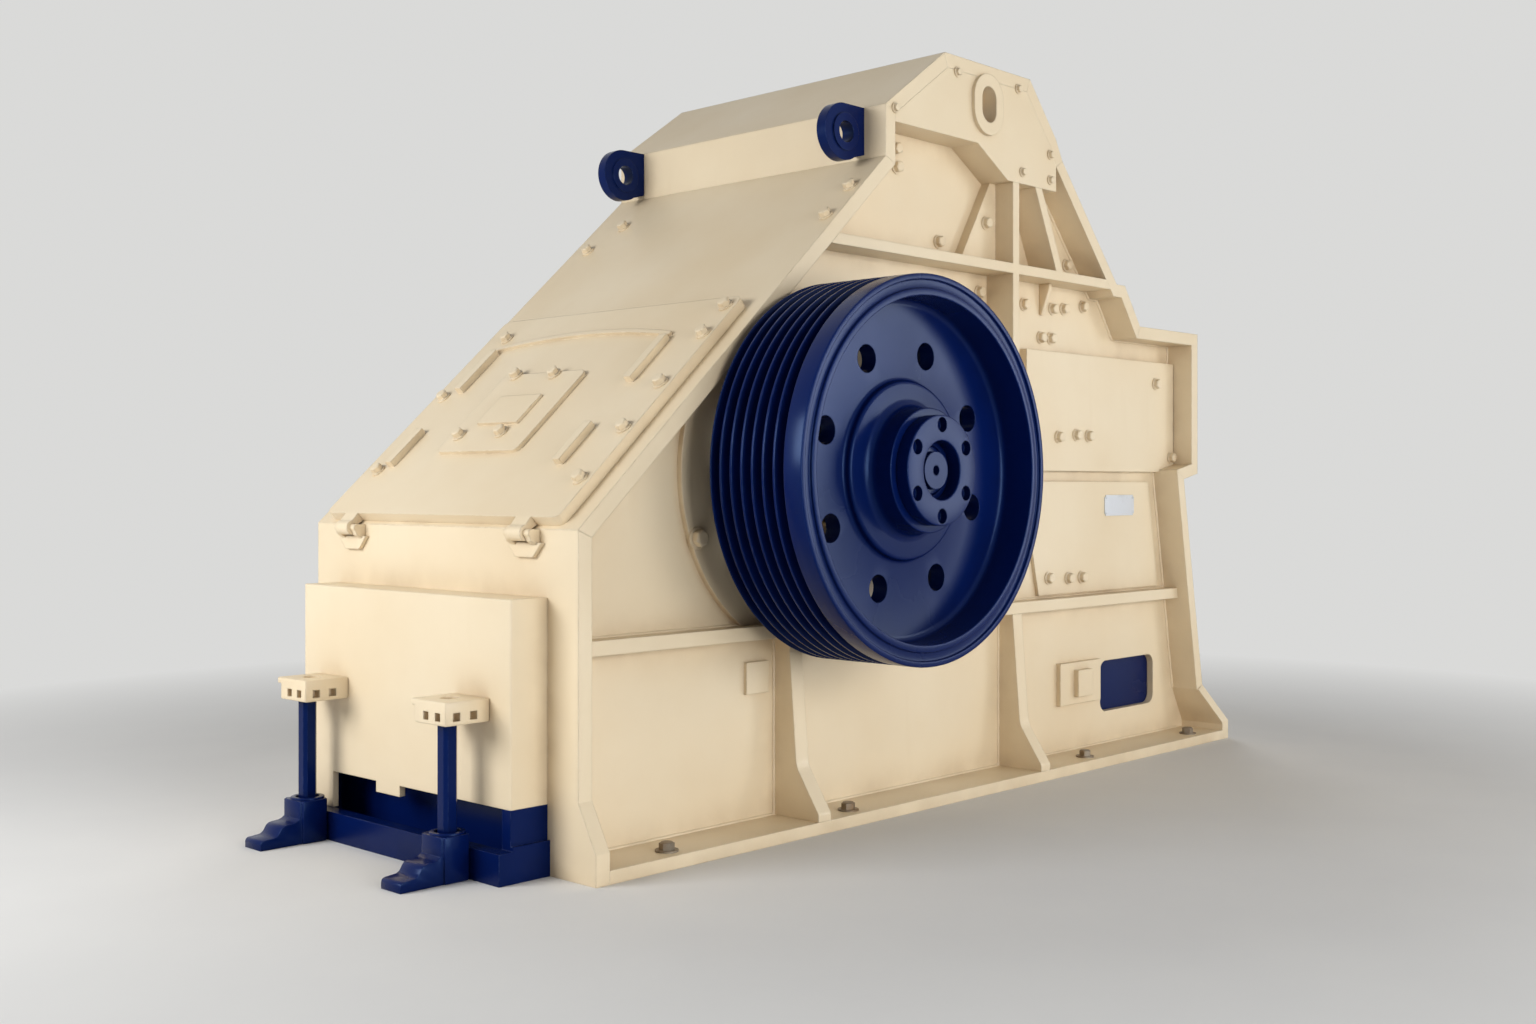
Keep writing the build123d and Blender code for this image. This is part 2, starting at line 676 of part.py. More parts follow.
def near_cover():
    """Round cover plate behind the bearing, trimmed by the rib and the slope."""
    outer = -WALL_HALF - COVER_THICK
    disc = inside(rod(SHAFT_X, SHAFT_Z, COVER_RADIUS, outer, -WALL_HALF))
    disc -= rod(SHAFT_X, SHAFT_Z, SHAFT_RADIUS + SHAFT_PASS_GAP, outer, -WALL_HALF)
    rib_top = LOWER_RIB_Z + LOWER_RIB_THICK
    low = block(FRONT_X, REAR_END_X, outer, -WALL_HALF, 0.0, rib_top)
    return disc - low


def near_bearing():
    """Bearing housing with its flange on the cover plate."""
    back = -WALL_HALF - COVER_THICK
    flange = BEARING_RADIUS + BEARING_FLANGE
    housing = rod(SHAFT_X, SHAFT_Z, flange, back - BEARING_FLANGE_THICK, back)
    housing += rod(SHAFT_X, SHAFT_Z, BEARING_RADIUS, back - BEARING_LENGTH, back)
    return housing - rod(SHAFT_X, SHAFT_Z, SHAFT_RADIUS + SHAFT_FIT, back - BEARING_LENGTH, back)


def turned(profile):
    """Turns radius and Y points about the shaft axis."""
    face = make_face(Polyline(*[(r, y, 0.0) for r, y in profile], close=True))
    return Pos(SHAFT_X, 0, SHAFT_Z) * revolve(face, axis=Axis.Y)


def pulley():
    """Grooved V-belt rim with the stepped ring on its outer face."""
    step_out = PULLEY_RADIUS - FACE_STEP_EDGE
    step_in = step_out - FACE_STEP_WIDTH
    profile = [
        (PULLEY_RIM_RADIUS, PULLEY_FRONT_Y),
        (step_in, PULLEY_FRONT_Y),
        (step_in, PULLEY_FRONT_Y + FACE_STEP),
        (step_out, PULLEY_FRONT_Y + FACE_STEP),
        (step_out, PULLEY_FRONT_Y),
        (PULLEY_RADIUS, PULLEY_FRONT_Y),
    ]
    for index in reversed(range(GROOVE_COUNT)):
        centre = PULLEY_BACK_Y - GROOVE_PITCH * (index + 0.5)
        profile += [
            (PULLEY_RADIUS, centre - GROOVE_TOP / 2),
            (PULLEY_RADIUS - GROOVE_DEPTH, centre),
            (PULLEY_RADIUS, centre + GROOVE_TOP / 2),
        ]
    profile += [(PULLEY_RADIUS, PULLEY_BACK_Y), (PULLEY_RIM_RADIUS, PULLEY_BACK_Y)]
    return turned(profile)


def pulley_web():
    """Web of the pulley with its raised ring, hub and lightening holes."""
    web_back = WEB_FACE_Y + WEB_THICK
    profile = [
        (SHAFT_RADIUS, HUB_FRONT_Y),
        (HUB_RADIUS, HUB_FRONT_Y),
        (HUB_RADIUS, WEB_FACE_Y - WEB_RING_RISE),
        (WEB_RING_RADIUS, WEB_FACE_Y - WEB_RING_RISE),
        (WEB_RING_RADIUS, WEB_FACE_Y),
        (PULLEY_RIM_RADIUS, WEB_FACE_Y),
        (PULLEY_RIM_RADIUS, web_back),
        (HUB_RADIUS, web_back),
        (HUB_RADIUS, HUB_BACK_Y),
        (SHAFT_RADIUS, HUB_BACK_Y),
    ]
    wheel = turned(profile)
    for index in range(WEB_HOLE_COUNT):
        angle = math.radians(WEB_HOLE_TURN + index * 360.0 / WEB_HOLE_COUNT)
        x = SHAFT_X + WEB_HOLE_CIRCLE * math.cos(angle)
        z = SHAFT_Z + WEB_HOLE_CIRCLE * math.sin(angle)
        wheel -= rod(x, z, WEB_HOLE_RADIUS, WEB_FACE_Y, web_back)
    return wheel


def clamp_ring():
    """Clamp ring on the pulley hub, round the shaft end."""
    front = HUB_FRONT_Y - CLAMP_THICK
    ring = rod(SHAFT_X, SHAFT_Z, CLAMP_RADIUS, front, HUB_FRONT_Y)
    return ring - rod(SHAFT_X, SHAFT_Z, CLAMP_BORE, front, HUB_FRONT_Y)


def rotor_shaft():
    """Main shaft with bevelled ends, and a spigot with a centre hole at its pulley end."""
    shaft = rod(SHAFT_X, SHAFT_Z, SHAFT_RADIUS, HUB_FRONT_Y, SHAFT_FAR_Y)
    shaft = chamfer(shaft.edges().filter_by(GeomType.CIRCLE), SHAFT_BEVEL)
    shaft += rod(SHAFT_X, SHAFT_Z, SPIGOT_RADIUS, SHAFT_NEAR_Y, HUB_FRONT_Y)
    centre_end = SHAFT_NEAR_Y + CENTRE_HOLE_DEPTH
    return shaft - rod(SHAFT_X, SHAFT_Z, CENTRE_HOLE_RADIUS, SHAFT_NEAR_Y, centre_end)


def rotor_body():
    """Rotor drum with its blow bars."""
    drum = rod(SHAFT_X, SHAFT_Z, ROTOR_RADIUS, -ROTOR_HALF, ROTOR_HALF)
    seat = ROTOR_RADIUS - BAR_SEAT
    for index in range(BAR_COUNT):
        bar = block(seat, ROTOR_TIP, -ROTOR_HALF, ROTOR_HALF, -BAR_THICK / 2, BAR_THICK / 2)
        turn = BAR_TURN + index * 360.0 / BAR_COUNT
        drum += Pos(SHAFT_X, 0, SHAFT_Z) * Rot(0, turn, 0) * bar
    return drum - rod(SHAFT_X, SHAFT_Z, SHAFT_RADIUS, -ROTOR_HALF, ROTOR_HALF)


def apron():
    """Impact apron hanging on its shaft under the roof."""
    half = WALL_INNER - APRON_SIDE_GAP
    length = math.hypot(APRON_RUN, APRON_FALL)
    across = APRON_THICK / 2 * APRON_FALL / length
    up = APRON_THICK / 2 * APRON_RUN / length
    tip_x = PIVOT_X - APRON_RUN
    tip_z = PIVOT_Z - APRON_FALL
    outline = [
        (PIVOT_X + across, PIVOT_Z - up),
        (tip_x + across, tip_z - up),
        (tip_x - across, tip_z + up),
        (PIVOT_X - across, PIVOT_Z + up),
    ]
    eye = rod(PIVOT_X, PIVOT_Z, PIVOT_RADIUS + APRON_EYE_WALL, -half, half)
    plate = prism(outline, -half, half) + eye
    return plate - rod(PIVOT_X, PIVOT_Z, PIVOT_RADIUS, -half, half)


def feed_pan():
    """Sloping pan that leads the feed from the box to the rotor."""
    outline = [
        (PAN_START_X, PAN_START_Z),
        (PAN_END_X, PAN_END_Z),
        (PAN_END_X, PAN_END_Z - PAN_THICK),
        (PAN_START_X, PAN_START_Z - PAN_THICK),
    ]
    return prism(outline, -WALL_INNER, WALL_INNER)



def hatch_relief():
    """Raised ribs, ridge and bolted lid on the hatch, in the slope's own plane."""
    relief = Part()
    near_y = HATCH_RIB_NEAR_EDGE - HATCH_HALF
    far_y = HATCH_HALF - HATCH_RIB_FAR_EDGE
    low = HATCH_START + HATCH_RIB_LOW
    high = low + HATCH_RIB_STEP
    ridge_along = high + HATCH_RIDGE_STEP
    for along, length in ((low, HATCH_RIB_LOW_LENGTH), (high, HATCH_RIB_HIGH_LENGTH)):
        for y in (near_y, far_y):
            outline = Pos(along, y, HATCH_THICK) * Rectangle(length, HATCH_RIB_WIDTH)
            relief += extrude(outline, amount=HATCH_RIB_RISE)
    bow = ThreePointArc(
        (ridge_along, near_y),
        (ridge_along + HATCH_RIDGE_BOW, (near_y + far_y) / 2),
        (ridge_along, far_y),
    )
    ridge = SlotArc(bow, HATCH_RIDGE_WIDTH)
    relief += Pos(0, 0, HATCH_THICK) * extrude(ridge, amount=HATCH_RIDGE_RISE)
    lid = RectangleRounded(HATCH_LID_LENGTH, HATCH_LID_WIDTH, HATCH_LID_CORNER)
    lid_along = HATCH_START + HATCH_LID
    relief += Pos(lid_along, HATCH_LID_Y, HATCH_THICK) * extrude(lid, amount=HATCH_LID_RISE)
    plate = Rectangle(HATCH_PLATE_LENGTH, HATCH_PLATE_WIDTH)
    lid_top = HATCH_THICK + HATCH_LID_RISE
    return relief + Pos(lid_along, HATCH_LID_Y, lid_top) * extrude(plate, amount=HATCH_PLATE_RISE)


def hatch():
    """Hatch plate with two hinge knuckles at its lower edge."""
    middle = Pos((HATCH_START + HATCH_END) / 2, 0)
    sheet = middle * RectangleRounded(HATCH_LENGTH, 2 * HATCH_HALF, HATCH_CORNER)
    leaf = SLOPE_PLANE * extrude(sheet, amount=HATCH_THICK)
    leaf += SLOPE_PLANE * hatch_relief()
    arm = [
        (HINGE_X - HINGE_RADIUS, HINGE_Z),
        on_slope(HATCH_START, HATCH_THICK),
        on_slope(HATCH_START, 2 * EAR_GAP),
        (HINGE_X, HINGE_Z),
    ]
    half = KNUCKLE_WIDTH / 2
    for y in (-HINGE_Y, HINGE_Y):
        knuckle = rod(HINGE_X, HINGE_Z, HINGE_RADIUS, y - half, y + half)
        leaf += knuckle + prism(arm, y - half, y + half)
        leaf -= rod(HINGE_X, HINGE_Z, PIN_RADIUS + PIN_FIT, y - half, y + half)
    return leaf


def hinge_bracket(y):
    """Tapered leaf on the front plate with two ears and the pin that carries one knuckle."""
    inner = KNUCKLE_WIDTH / 2 + EAR_GAP
    outer = inner + EAR_WIDTH
    leaf_top = HINGE_Z - HINGE_RADIUS - LEAF_GAP
    leaf = [
        (y - LEAF_HALF, leaf_top),
        (y + LEAF_HALF, leaf_top),
        (y + LEAF_FOOT_HALF, leaf_top - LEAF_DROP),
        (y - LEAF_FOOT_HALF, leaf_top - LEAF_DROP),
    ]
    side = [
        (FRONT_X, HINGE_Z + HINGE_DROP - EAR_GAP),
        (HINGE_X, HINGE_Z + PIN_RADIUS),
        (HINGE_X - PIN_RADIUS, HINGE_Z),
        (HINGE_X, HINGE_Z - HINGE_RADIUS),
        (FRONT_X, leaf_top - EAR_LAP),
    ]
    bracket = cross_prism(leaf, FRONT_X - LEAF_THICK, FRONT_X)
    bracket += prism(side, y - outer, y - inner) + prism(side, y + inner, y + outer)
    return bracket + rod(HINGE_X, HINGE_Z, PIN_RADIUS, y - outer, y + outer)


def hood():
    """Hood over the front opening, open to the housing and below."""
    shell = block(HOOD_FRONT_X, FRONT_X, -HOOD_HALF, HOOD_HALF, HOOD_LOW_Z, HOOD_TOP_Z)
    front_face = shell.faces().sort_by(Axis.X)[0]
    low_edge = front_face.edges().sort_by(Axis.Z)[0]
    rounded = [edge for edge in front_face.edges() if edge != low_edge]
    shell = fillet(rounded, HOOD_ROUND)
    inner = HOOD_HALF - HOOD_PLATE
    front = HOOD_FRONT_X + HOOD_PLATE
    shell -= block(front, FRONT_X, -inner, inner, HOOD_LOW_Z, HOOD_TOP_Z - HOOD_PLATE)
    half = TAB_WIDTH / 2
    tab_y = HOOD_HALF - TAB_OFFSET
    shell += block(
        HOOD_FRONT_X, front, tab_y - half, tab_y + half, HOOD_LOW_Z - TAB_DROP, HOOD_LOW_Z
    )
    return shell + hood_leg()


def hood_leg():
    """Strip of the hood's front that reaches down to the beam on the far side."""
    front = HOOD_FRONT_X + HOOD_PLATE
    return block(HOOD_FRONT_X, front, HOOD_HALF - LEG_WIDTH, HOOD_HALF, BEAM_Z, HOOD_LOW_Z)


def lower_frame():
    """Frame under the hood: two cheeks, the back plate between them and the cross beam."""
    inner = HOOD_HALF - FRAME_CHEEK
    cheek = block(HOOD_FRONT_X, FRONT_X, -HOOD_HALF, -inner, 0.0, HOOD_LOW_Z)
    cheek += block(HOOD_FRONT_X, FRONT_X, -HOOD_HALF - FRAME_STEP, -HOOD_HALF, 0.0, FRAME_STEP_Z)
    side = HOOD_HALF + FRAME_STEP
    beam = block(BEAM_FRONT_X, HOOD_FRONT_X, -side, side, 0.0, BEAM_Z)
    back = block(FRONT_X - FRAME_BACK, FRONT_X, -inner, inner, 0.0, HOOD_LOW_Z)
    return cheek + far(cheek) + beam + back - hood_leg()


def spindle():
    """Square spindle with bevelled edges between its block and its head."""
    outline = chamfer(Rectangle(SPINDLE_SIZE, SPINDLE_SIZE).vertices(), SPINDLE_CHAMFER)
    bar = extrude(outline, amount=HEAD_LOW_Z - BLOCK_Z)
    return Pos(SPINDLE_X, -SPINDLE_Y, BLOCK_Z) * bar


def toe_sides():
    """Gives the two sides of a spindle block's toe."""
    return (-SPINDLE_Y - TOE_HALF, -SPINDLE_Y + TOE_HALF)


def spindle_block():
    """Spindle block with its stepped toe on the floor."""
    left, right = -SPINDLE_Y - BLOCK_HALF, -SPINDLE_Y + BLOCK_HALF
    body = block(BLOCK_FRONT_X, BEAM_FRONT_X, left, right, 0.0, BLOCK_Z)
    body = chamfer(body.edges().filter_by(Axis.Z).group_by(Axis.X)[0], BLOCK_BEVEL)
    profile = [
        (BLOCK_FRONT_X, 0.0),
        (BLOCK_FRONT_X, TOE_UPPER_Z),
        (TOE_UPPER_X, TOE_UPPER_Z),
        (TOE_UPPER_X, TOE_TIP_Z),
        (TOE_TIP_X, TOE_TIP_Z),
        (TOE_TIP_X, 0.0),
    ]
    toe = prism(profile, *toe_sides())
    corners = toe.edges().filter_by(Axis.Y).sort_by(Axis.Z)[-3:-1]
    toe = chamfer(corners, TOE_BEVEL)
    toe = chamfer(toe.edges().filter_by(Axis.Z).group_by(Axis.X)[0], TOE_BEVEL)
    reach = block(BLOCK_FRONT_X, BLOCK_FRONT_X + BLOCK_BEVEL, *toe_sides(), 0.0, TOE_UPPER_Z)
    return body + toe + reach


def spindle_head():
    """Head block on the hood face, with a cap that laps over it."""
    low, high = -SPINDLE_Y - HEAD_HALF, -SPINDLE_Y + HEAD_HALF
    cap_z = HEAD_TOP_Z - HEAD_CAP
    head = block(HEAD_FRONT_X, HOOD_FRONT_X, low, high, HEAD_LOW_Z, cap_z)
    head += block(HEAD_FRONT_X - HEAD_LAP, HOOD_FRONT_X, low, high + HEAD_LAP, cap_z, HEAD_TOP_Z)
    return chamfer(head.edges().filter_by(Axis.Z).group_by(Axis.X)[0], HEAD_BEVEL)


def lug():
    """Lifting lug on the crown plate, with a round end and a raised ring round its hole."""
    low = -LUG_Y - LUG_THICK / 2
    high = low + LUG_THICK
    end_radius = LUG_HEIGHT / 2
    end_x = CROWN_X - LUG_REACH + end_radius
    root = [
        (CROWN_X, LUG_ROOT_Z),
        (end_x, LUG_LOW_Z),
        (end_x, LUG_TOP_Z),
        (CROWN_X, LUG_TOP_Z),
    ]
    plate = prism(root, low, high) + rod(end_x, LUG_HOLE_Z, end_radius, low, high)
    ring = LUG_HOLE_RADIUS + LUG_RING_WALL
    plate += rod(LUG_HOLE_X, LUG_HOLE_Z, ring, low - LUG_RING_RISE, high + LUG_RING_RISE)
    return plate - rod(
        LUG_HOLE_X, LUG_HOLE_Z, LUG_HOLE_RADIUS, low - LUG_RING_RISE, high + LUG_RING_RISE
    )


def main():
    """Builds every part and writes it."""
    pivot_half = RIM_HALF - PIVOT_SLOT_DEPTH
    parts = {
        "front_plate": front_plate(),
        "slope_frame": slope_frame(),
        "crown_plate": strip(2, 3),
        "roof_front_plate": strip(3, 4),
        "roof_top_plate": strip(4, 5),
        "roof_rear_plate": strip(5, 7),
        "rear_slope_plate": strip(7, 10),
        "feed_box": feed_box(),
        "rear_plate": rear_plate(),
        "hood": hood(),
        "lower_frame": lower_frame(),
        "hatch": hatch(),
        "hatch_hinge_near": hinge_bracket(-HINGE_Y),
        "hatch_hinge_far": hinge_bracket(HINGE_Y),
        "rotor_shaft": rotor_shaft(),
        "rotor_body": rotor_body(),
        "pulley": pulley(),
        "pulley_web": pulley_web(),
        "clamp_ring": clamp_ring(),
        "apron_shaft": rod(PIVOT_X, PIVOT_Z, PIVOT_RADIUS, -pivot_half, pivot_half),
        "apron": apron(),
        "feed_pan": feed_pan(),
    }
    pairs = {
        "wall": near_wall(),
        "base": near_base(),
        "front_gusset": gusset(FRONT_GUSSET_X),
        "rear_gusset": gusset(REAR_GUSSET_X),
        "lower_rib": near_lower_rib(),
        "upper_ribs": near_upper_ribs(),
        "cheek": near_cheek(),
        "box_panel": near_panel(),
        "side_panel": near_side_panel(),
        "window_panel": near_window_panel(),
        "cover": near_cover(),
        "bearing": near_bearing(),
        "spindle": spindle(),
        "spindle_block": spindle_block(),
        "spindle_head": spindle_head(),
        "lug": lug(),
    }
    for name, shape in pairs.items():
        parts["near_" + name] = shape
        parts["far_" + name] = far(shape)
    os.makedirs("parts", exist_ok=True)
    for name, shape in parts.items():
        export_step(shape, os.path.join("parts", name + ".step"))


main()
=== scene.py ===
"""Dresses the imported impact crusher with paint, pulley, fasteners, weld seams and a studio."""

import json
import logging
import math
from dataclasses import dataclass, field
from enum import Enum

import bmesh
import bpy
from mathutils import Matrix, Vector


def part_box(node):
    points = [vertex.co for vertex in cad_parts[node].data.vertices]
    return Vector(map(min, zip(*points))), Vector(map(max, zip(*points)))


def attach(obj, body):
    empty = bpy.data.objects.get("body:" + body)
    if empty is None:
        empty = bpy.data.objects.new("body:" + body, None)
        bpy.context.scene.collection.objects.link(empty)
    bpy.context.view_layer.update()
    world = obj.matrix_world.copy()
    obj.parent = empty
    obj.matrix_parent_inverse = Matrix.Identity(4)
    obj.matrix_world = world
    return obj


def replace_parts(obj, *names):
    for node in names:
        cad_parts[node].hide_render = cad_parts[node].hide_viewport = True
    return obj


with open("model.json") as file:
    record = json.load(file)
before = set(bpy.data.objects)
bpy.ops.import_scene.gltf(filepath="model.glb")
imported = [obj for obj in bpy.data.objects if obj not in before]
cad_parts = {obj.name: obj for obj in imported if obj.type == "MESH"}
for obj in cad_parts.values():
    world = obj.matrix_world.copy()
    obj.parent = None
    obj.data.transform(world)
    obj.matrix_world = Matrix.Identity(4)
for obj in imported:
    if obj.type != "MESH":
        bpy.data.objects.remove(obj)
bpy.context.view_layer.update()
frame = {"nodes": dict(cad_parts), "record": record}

LOG = logging.getLogger("crusher")

Point = tuple[float, float, float]
Flat = tuple[float, float]
Place = tuple[Vector, Vector]

ACROSS = Vector((0.0, 1.0, 0.0))
UP = Vector((0.0, 0.0, 1.0))
BASE_TOP = 0.04


class Body(Enum):
    """The bodies that pieces ride on."""

    HOUSING = "housing"
    ROTOR = "rotor"
    HATCH = "hatch"


class Slot(Enum):
    """The record's material slots."""

    CREAM = "cream_paint"
    BLUE = "blue_paint"
    STEEL = "bare_steel"
    DARK = "dark_steel"


class Side(Enum):
    """The machine's sides; the pulley is on the near one."""

    NEAR = "near"
    FAR = "far"

    @property
    def sign(self) -> float:
        """The sign of Y on this side."""
        return -1.0 if self is Side.NEAR else 1.0


class Solid(Enum):
    """What a second solid does to the first."""

    JOIN = "UNION"
    CUT = "DIFFERENCE"


@dataclass(frozen=True)
class Pattern:
    """A noise pattern and the range of it that shows.

    Args:
        scale: The noise's scale.
        detail: The noise's detail.
        low: The noise value that gives 0.
        high: The noise value that gives 1.
    """

    scale: float
    detail: float
    low: float
    high: float


class NodeGraph:
    """A short way to add and join shader or geometry nodes."""

    colour_inputs: tuple[int, int] = (6, 7)
    colour_result: int = 2

    def __init__(self, tree: bpy.types.NodeTree) -> None:
        """Keeps the tree and empties it.

        Args:
            tree: The node tree to fill.
        """
        self.tree = tree
        self.tree.nodes.clear()

    def add(self, kind: str, **settings: object) -> bpy.types.Node:
        """Adds a node and sets its properties.

        Args:
            kind: The node's type name.
            settings: Properties of the node by name.

        Returns:
            The new node.
        """
        node = self.tree.nodes.new(kind)
        for name, value in settings.items():
            setattr(node, name, value)
        return node

    def join(self, source: bpy.types.NodeSocket, target: bpy.types.NodeSocket) -> None:
        """Links one socket to another."""
        self.tree.links.new(source, target)

    def math(self, operation: str, *values: object) -> bpy.types.NodeSocket:
        """Adds a math node.

        Args:
            operation: The operation's name.
            values: Sockets or numbers, in the order of the node's inputs.

        Returns:
            The result's socket.
        """
        node = self.add("ShaderNodeMath", operation=operation)
        for target, value in zip(node.inputs, values):
            if isinstance(value, bpy.types.NodeSocket):
                self.join(value, target)
            else:
                target.default_value = value
        return node.outputs[0]

    def noise(self, vector: bpy.types.NodeSocket, scale: float, detail: float) -> bpy.types.NodeSocket:
        """Adds a noise texture.

        Args:
            vector: The coordinates' socket.
            scale: The noise's scale.
            detail: The noise's detail.

        Returns:
            The factor's socket.
        """
        node = self.add("ShaderNodeTexNoise")
        node.inputs["Scale"].default_value = scale
        node.inputs["Detail"].default_value = detail
        self.join(vector, node.inputs["Vector"])
        return node.outputs["Fac"]

    def ramp(self, value: bpy.types.NodeSocket, low: float, high: float) -> bpy.types.NodeSocket:
        """Stretches a factor.

        Args:
            value: The factor's socket.
            low: The value that gives 0.
            high: The value that gives 1.

        Returns:
            The stretched factor's socket.
        """
        node = self.add("ShaderNodeMapRange")
        node.inputs["From Min"].default_value = low
        node.inputs["From Max"].default_value = high
        self.join(value, node.inputs["Value"])
        return node.outputs["Result"]

    def pattern(self, vector: bpy.types.NodeSocket, kind: Pattern) -> bpy.types.NodeSocket:
        """Adds a noise pattern with its range stretched to 0 and 1."""
        return self.ramp(self.noise(vector, kind.scale, kind.detail), kind.low, kind.high)

    def stretched(self, vector: bpy.types.NodeSocket, scale: Point) -> bpy.types.NodeSocket:
        """Scales coordinates along their axes.

        Args:
            vector: The coordinates' socket.
            scale: The scale along X, Y and Z.

        Returns:
            The scaled coordinates' socket.
        """
        node = self.add("ShaderNodeMapping")
        node.inputs["Scale"].default_value = scale
        self.join(vector, node.inputs["Vector"])
        return node.outputs[0]

    def mix(self, factor: bpy.types.NodeSocket, first: object, second: object) -> bpy.types.NodeSocket:
        """Mixes two colours.

        Args:
            factor: The factor's socket.
            first: A socket or a colour, shown at factor 0.
            second: A socket or a colour, shown at factor 1.

        Returns:
            The mixed colour's socket.
        """
        node = self.add("ShaderNodeMix", data_type="RGBA")
        self.join(factor, node.inputs[0])
        for index, value in zip(self.colour_inputs, (first, second)):
            if isinstance(value, bpy.types.NodeSocket):
                self.join(value, node.inputs[index])
            else:
                node.inputs[index].default_value = (*value, 1.0)
        return node.outputs[self.colour_result]

    def choose(
        self, factor: bpy.types.NodeSocket, first: bpy.types.Node, second: bpy.types.Node
    ) -> bpy.types.NodeSocket:
        """Mixes two shaders.

        Args:
            factor: The factor's socket.
            first: The shader shown at factor 0.
            second: The shader shown at factor 1.

        Returns:
            The mixed shader's socket.
        """
        node = self.add("ShaderNodeMixShader")
        for source, target in zip((factor, first.outputs[0], second.outputs[0]), node.inputs):
            self.join(source, target)
        return node.outputs[0]

    def in_sight(self) -> bpy.types.NodeSocket:
        """Adds a factor that is 1 for camera, transmission and glossy rays.

        Returns:
            The factor's socket.
        """
        path = self.add("ShaderNodeLightPath").outputs
        direct = self.math("MAXIMUM", path["Is Camera Ray"], path["Is Transmission Ray"])
        return self.math("MAXIMUM", direct, path["Is Glossy Ray"])


class Surface(NodeGraph):
    """A new material's graph, with its output, shader and object coordinates."""

    def __init__(self, name: str) -> None:
        """Makes the material and joins its shader to its output.

        Args:
            name: The material's name.
        """
        self.material = bpy.data.materials.new(name)
        self.material.use_nodes = True
        super().__init__(self.material.node_tree)
        self.out = self.add("ShaderNodeOutputMaterial").inputs["Surface"]
        self.shader = self.add("ShaderNodeBsdfPrincipled")
        self.place = self.add("ShaderNodeTexCoord").outputs["Object"]
        self.join(self.shader.outputs[0], self.out)

    def relief(self, height: bpy.types.NodeSocket, strength: float, depth: float) -> bpy.types.Node:
        """Gives the shader a bump.

        Args:
            height: The height's socket.
            strength: The bump's strength.
            depth: The bump's depth in metres.

        Returns:
            The bump node.
        """
        node = self.add("ShaderNodeBump")
        node.inputs["Strength"].default_value = strength
        node.inputs["Distance"].default_value = depth
        self.join(height, node.inputs["Height"])
        self.join(node.outputs["Normal"], self.shader.inputs["Normal"])
        return node


CLOUD = Pattern(scale=1.7, detail=5.0, low=0.35, high=0.72)
STREAK = Pattern(scale=1.6, detail=4.0, low=0.52, high=0.85)
STREAK_STRETCH = (9.0, 9.0, 0.9)
STREAK_WEIGHT = 0.5
# Painted shade: occlusion darkens the paint in corners and along seams, and this noise mottles it into
# grimy patches.
DIRT_AND_SHADE_NOISE = Pattern(scale=6.0, detail=6.0, low=0.2, high=0.75)
SHADE_REACH = 0.12
SHADE_SAMPLES = 8
SHADE_OPENNESS = (0.95, 0.35)
DIRT_AND_SHADE_WEIGHT = 0.75
# Painted highlight with wear on edges: chip noise and the turn of the rounded normal.
CHIP = Pattern(scale=38.0, detail=6.0, low=0.42, high=0.66)
EDGE_TURN = (0.99, 0.72)
EDGE_SAMPLES = 4
PEEL_SCALE = 210.0
PEEL_DETAIL = 2.0
PEEL_DEPTH = 0.002
FILM_SCALE = 14.0
FILM_DETAIL = 8.0
FILM_BLEND = 0.25
GRAIN_SCALE = 1.0
GRAIN_DETAIL = 3.0
GRAIN_ROUGH = 0.25
GRAIN_DEPTH = 0.001
MOTTLE = Pattern(scale=2.5, detail=5.0, low=0.2, high=0.8)


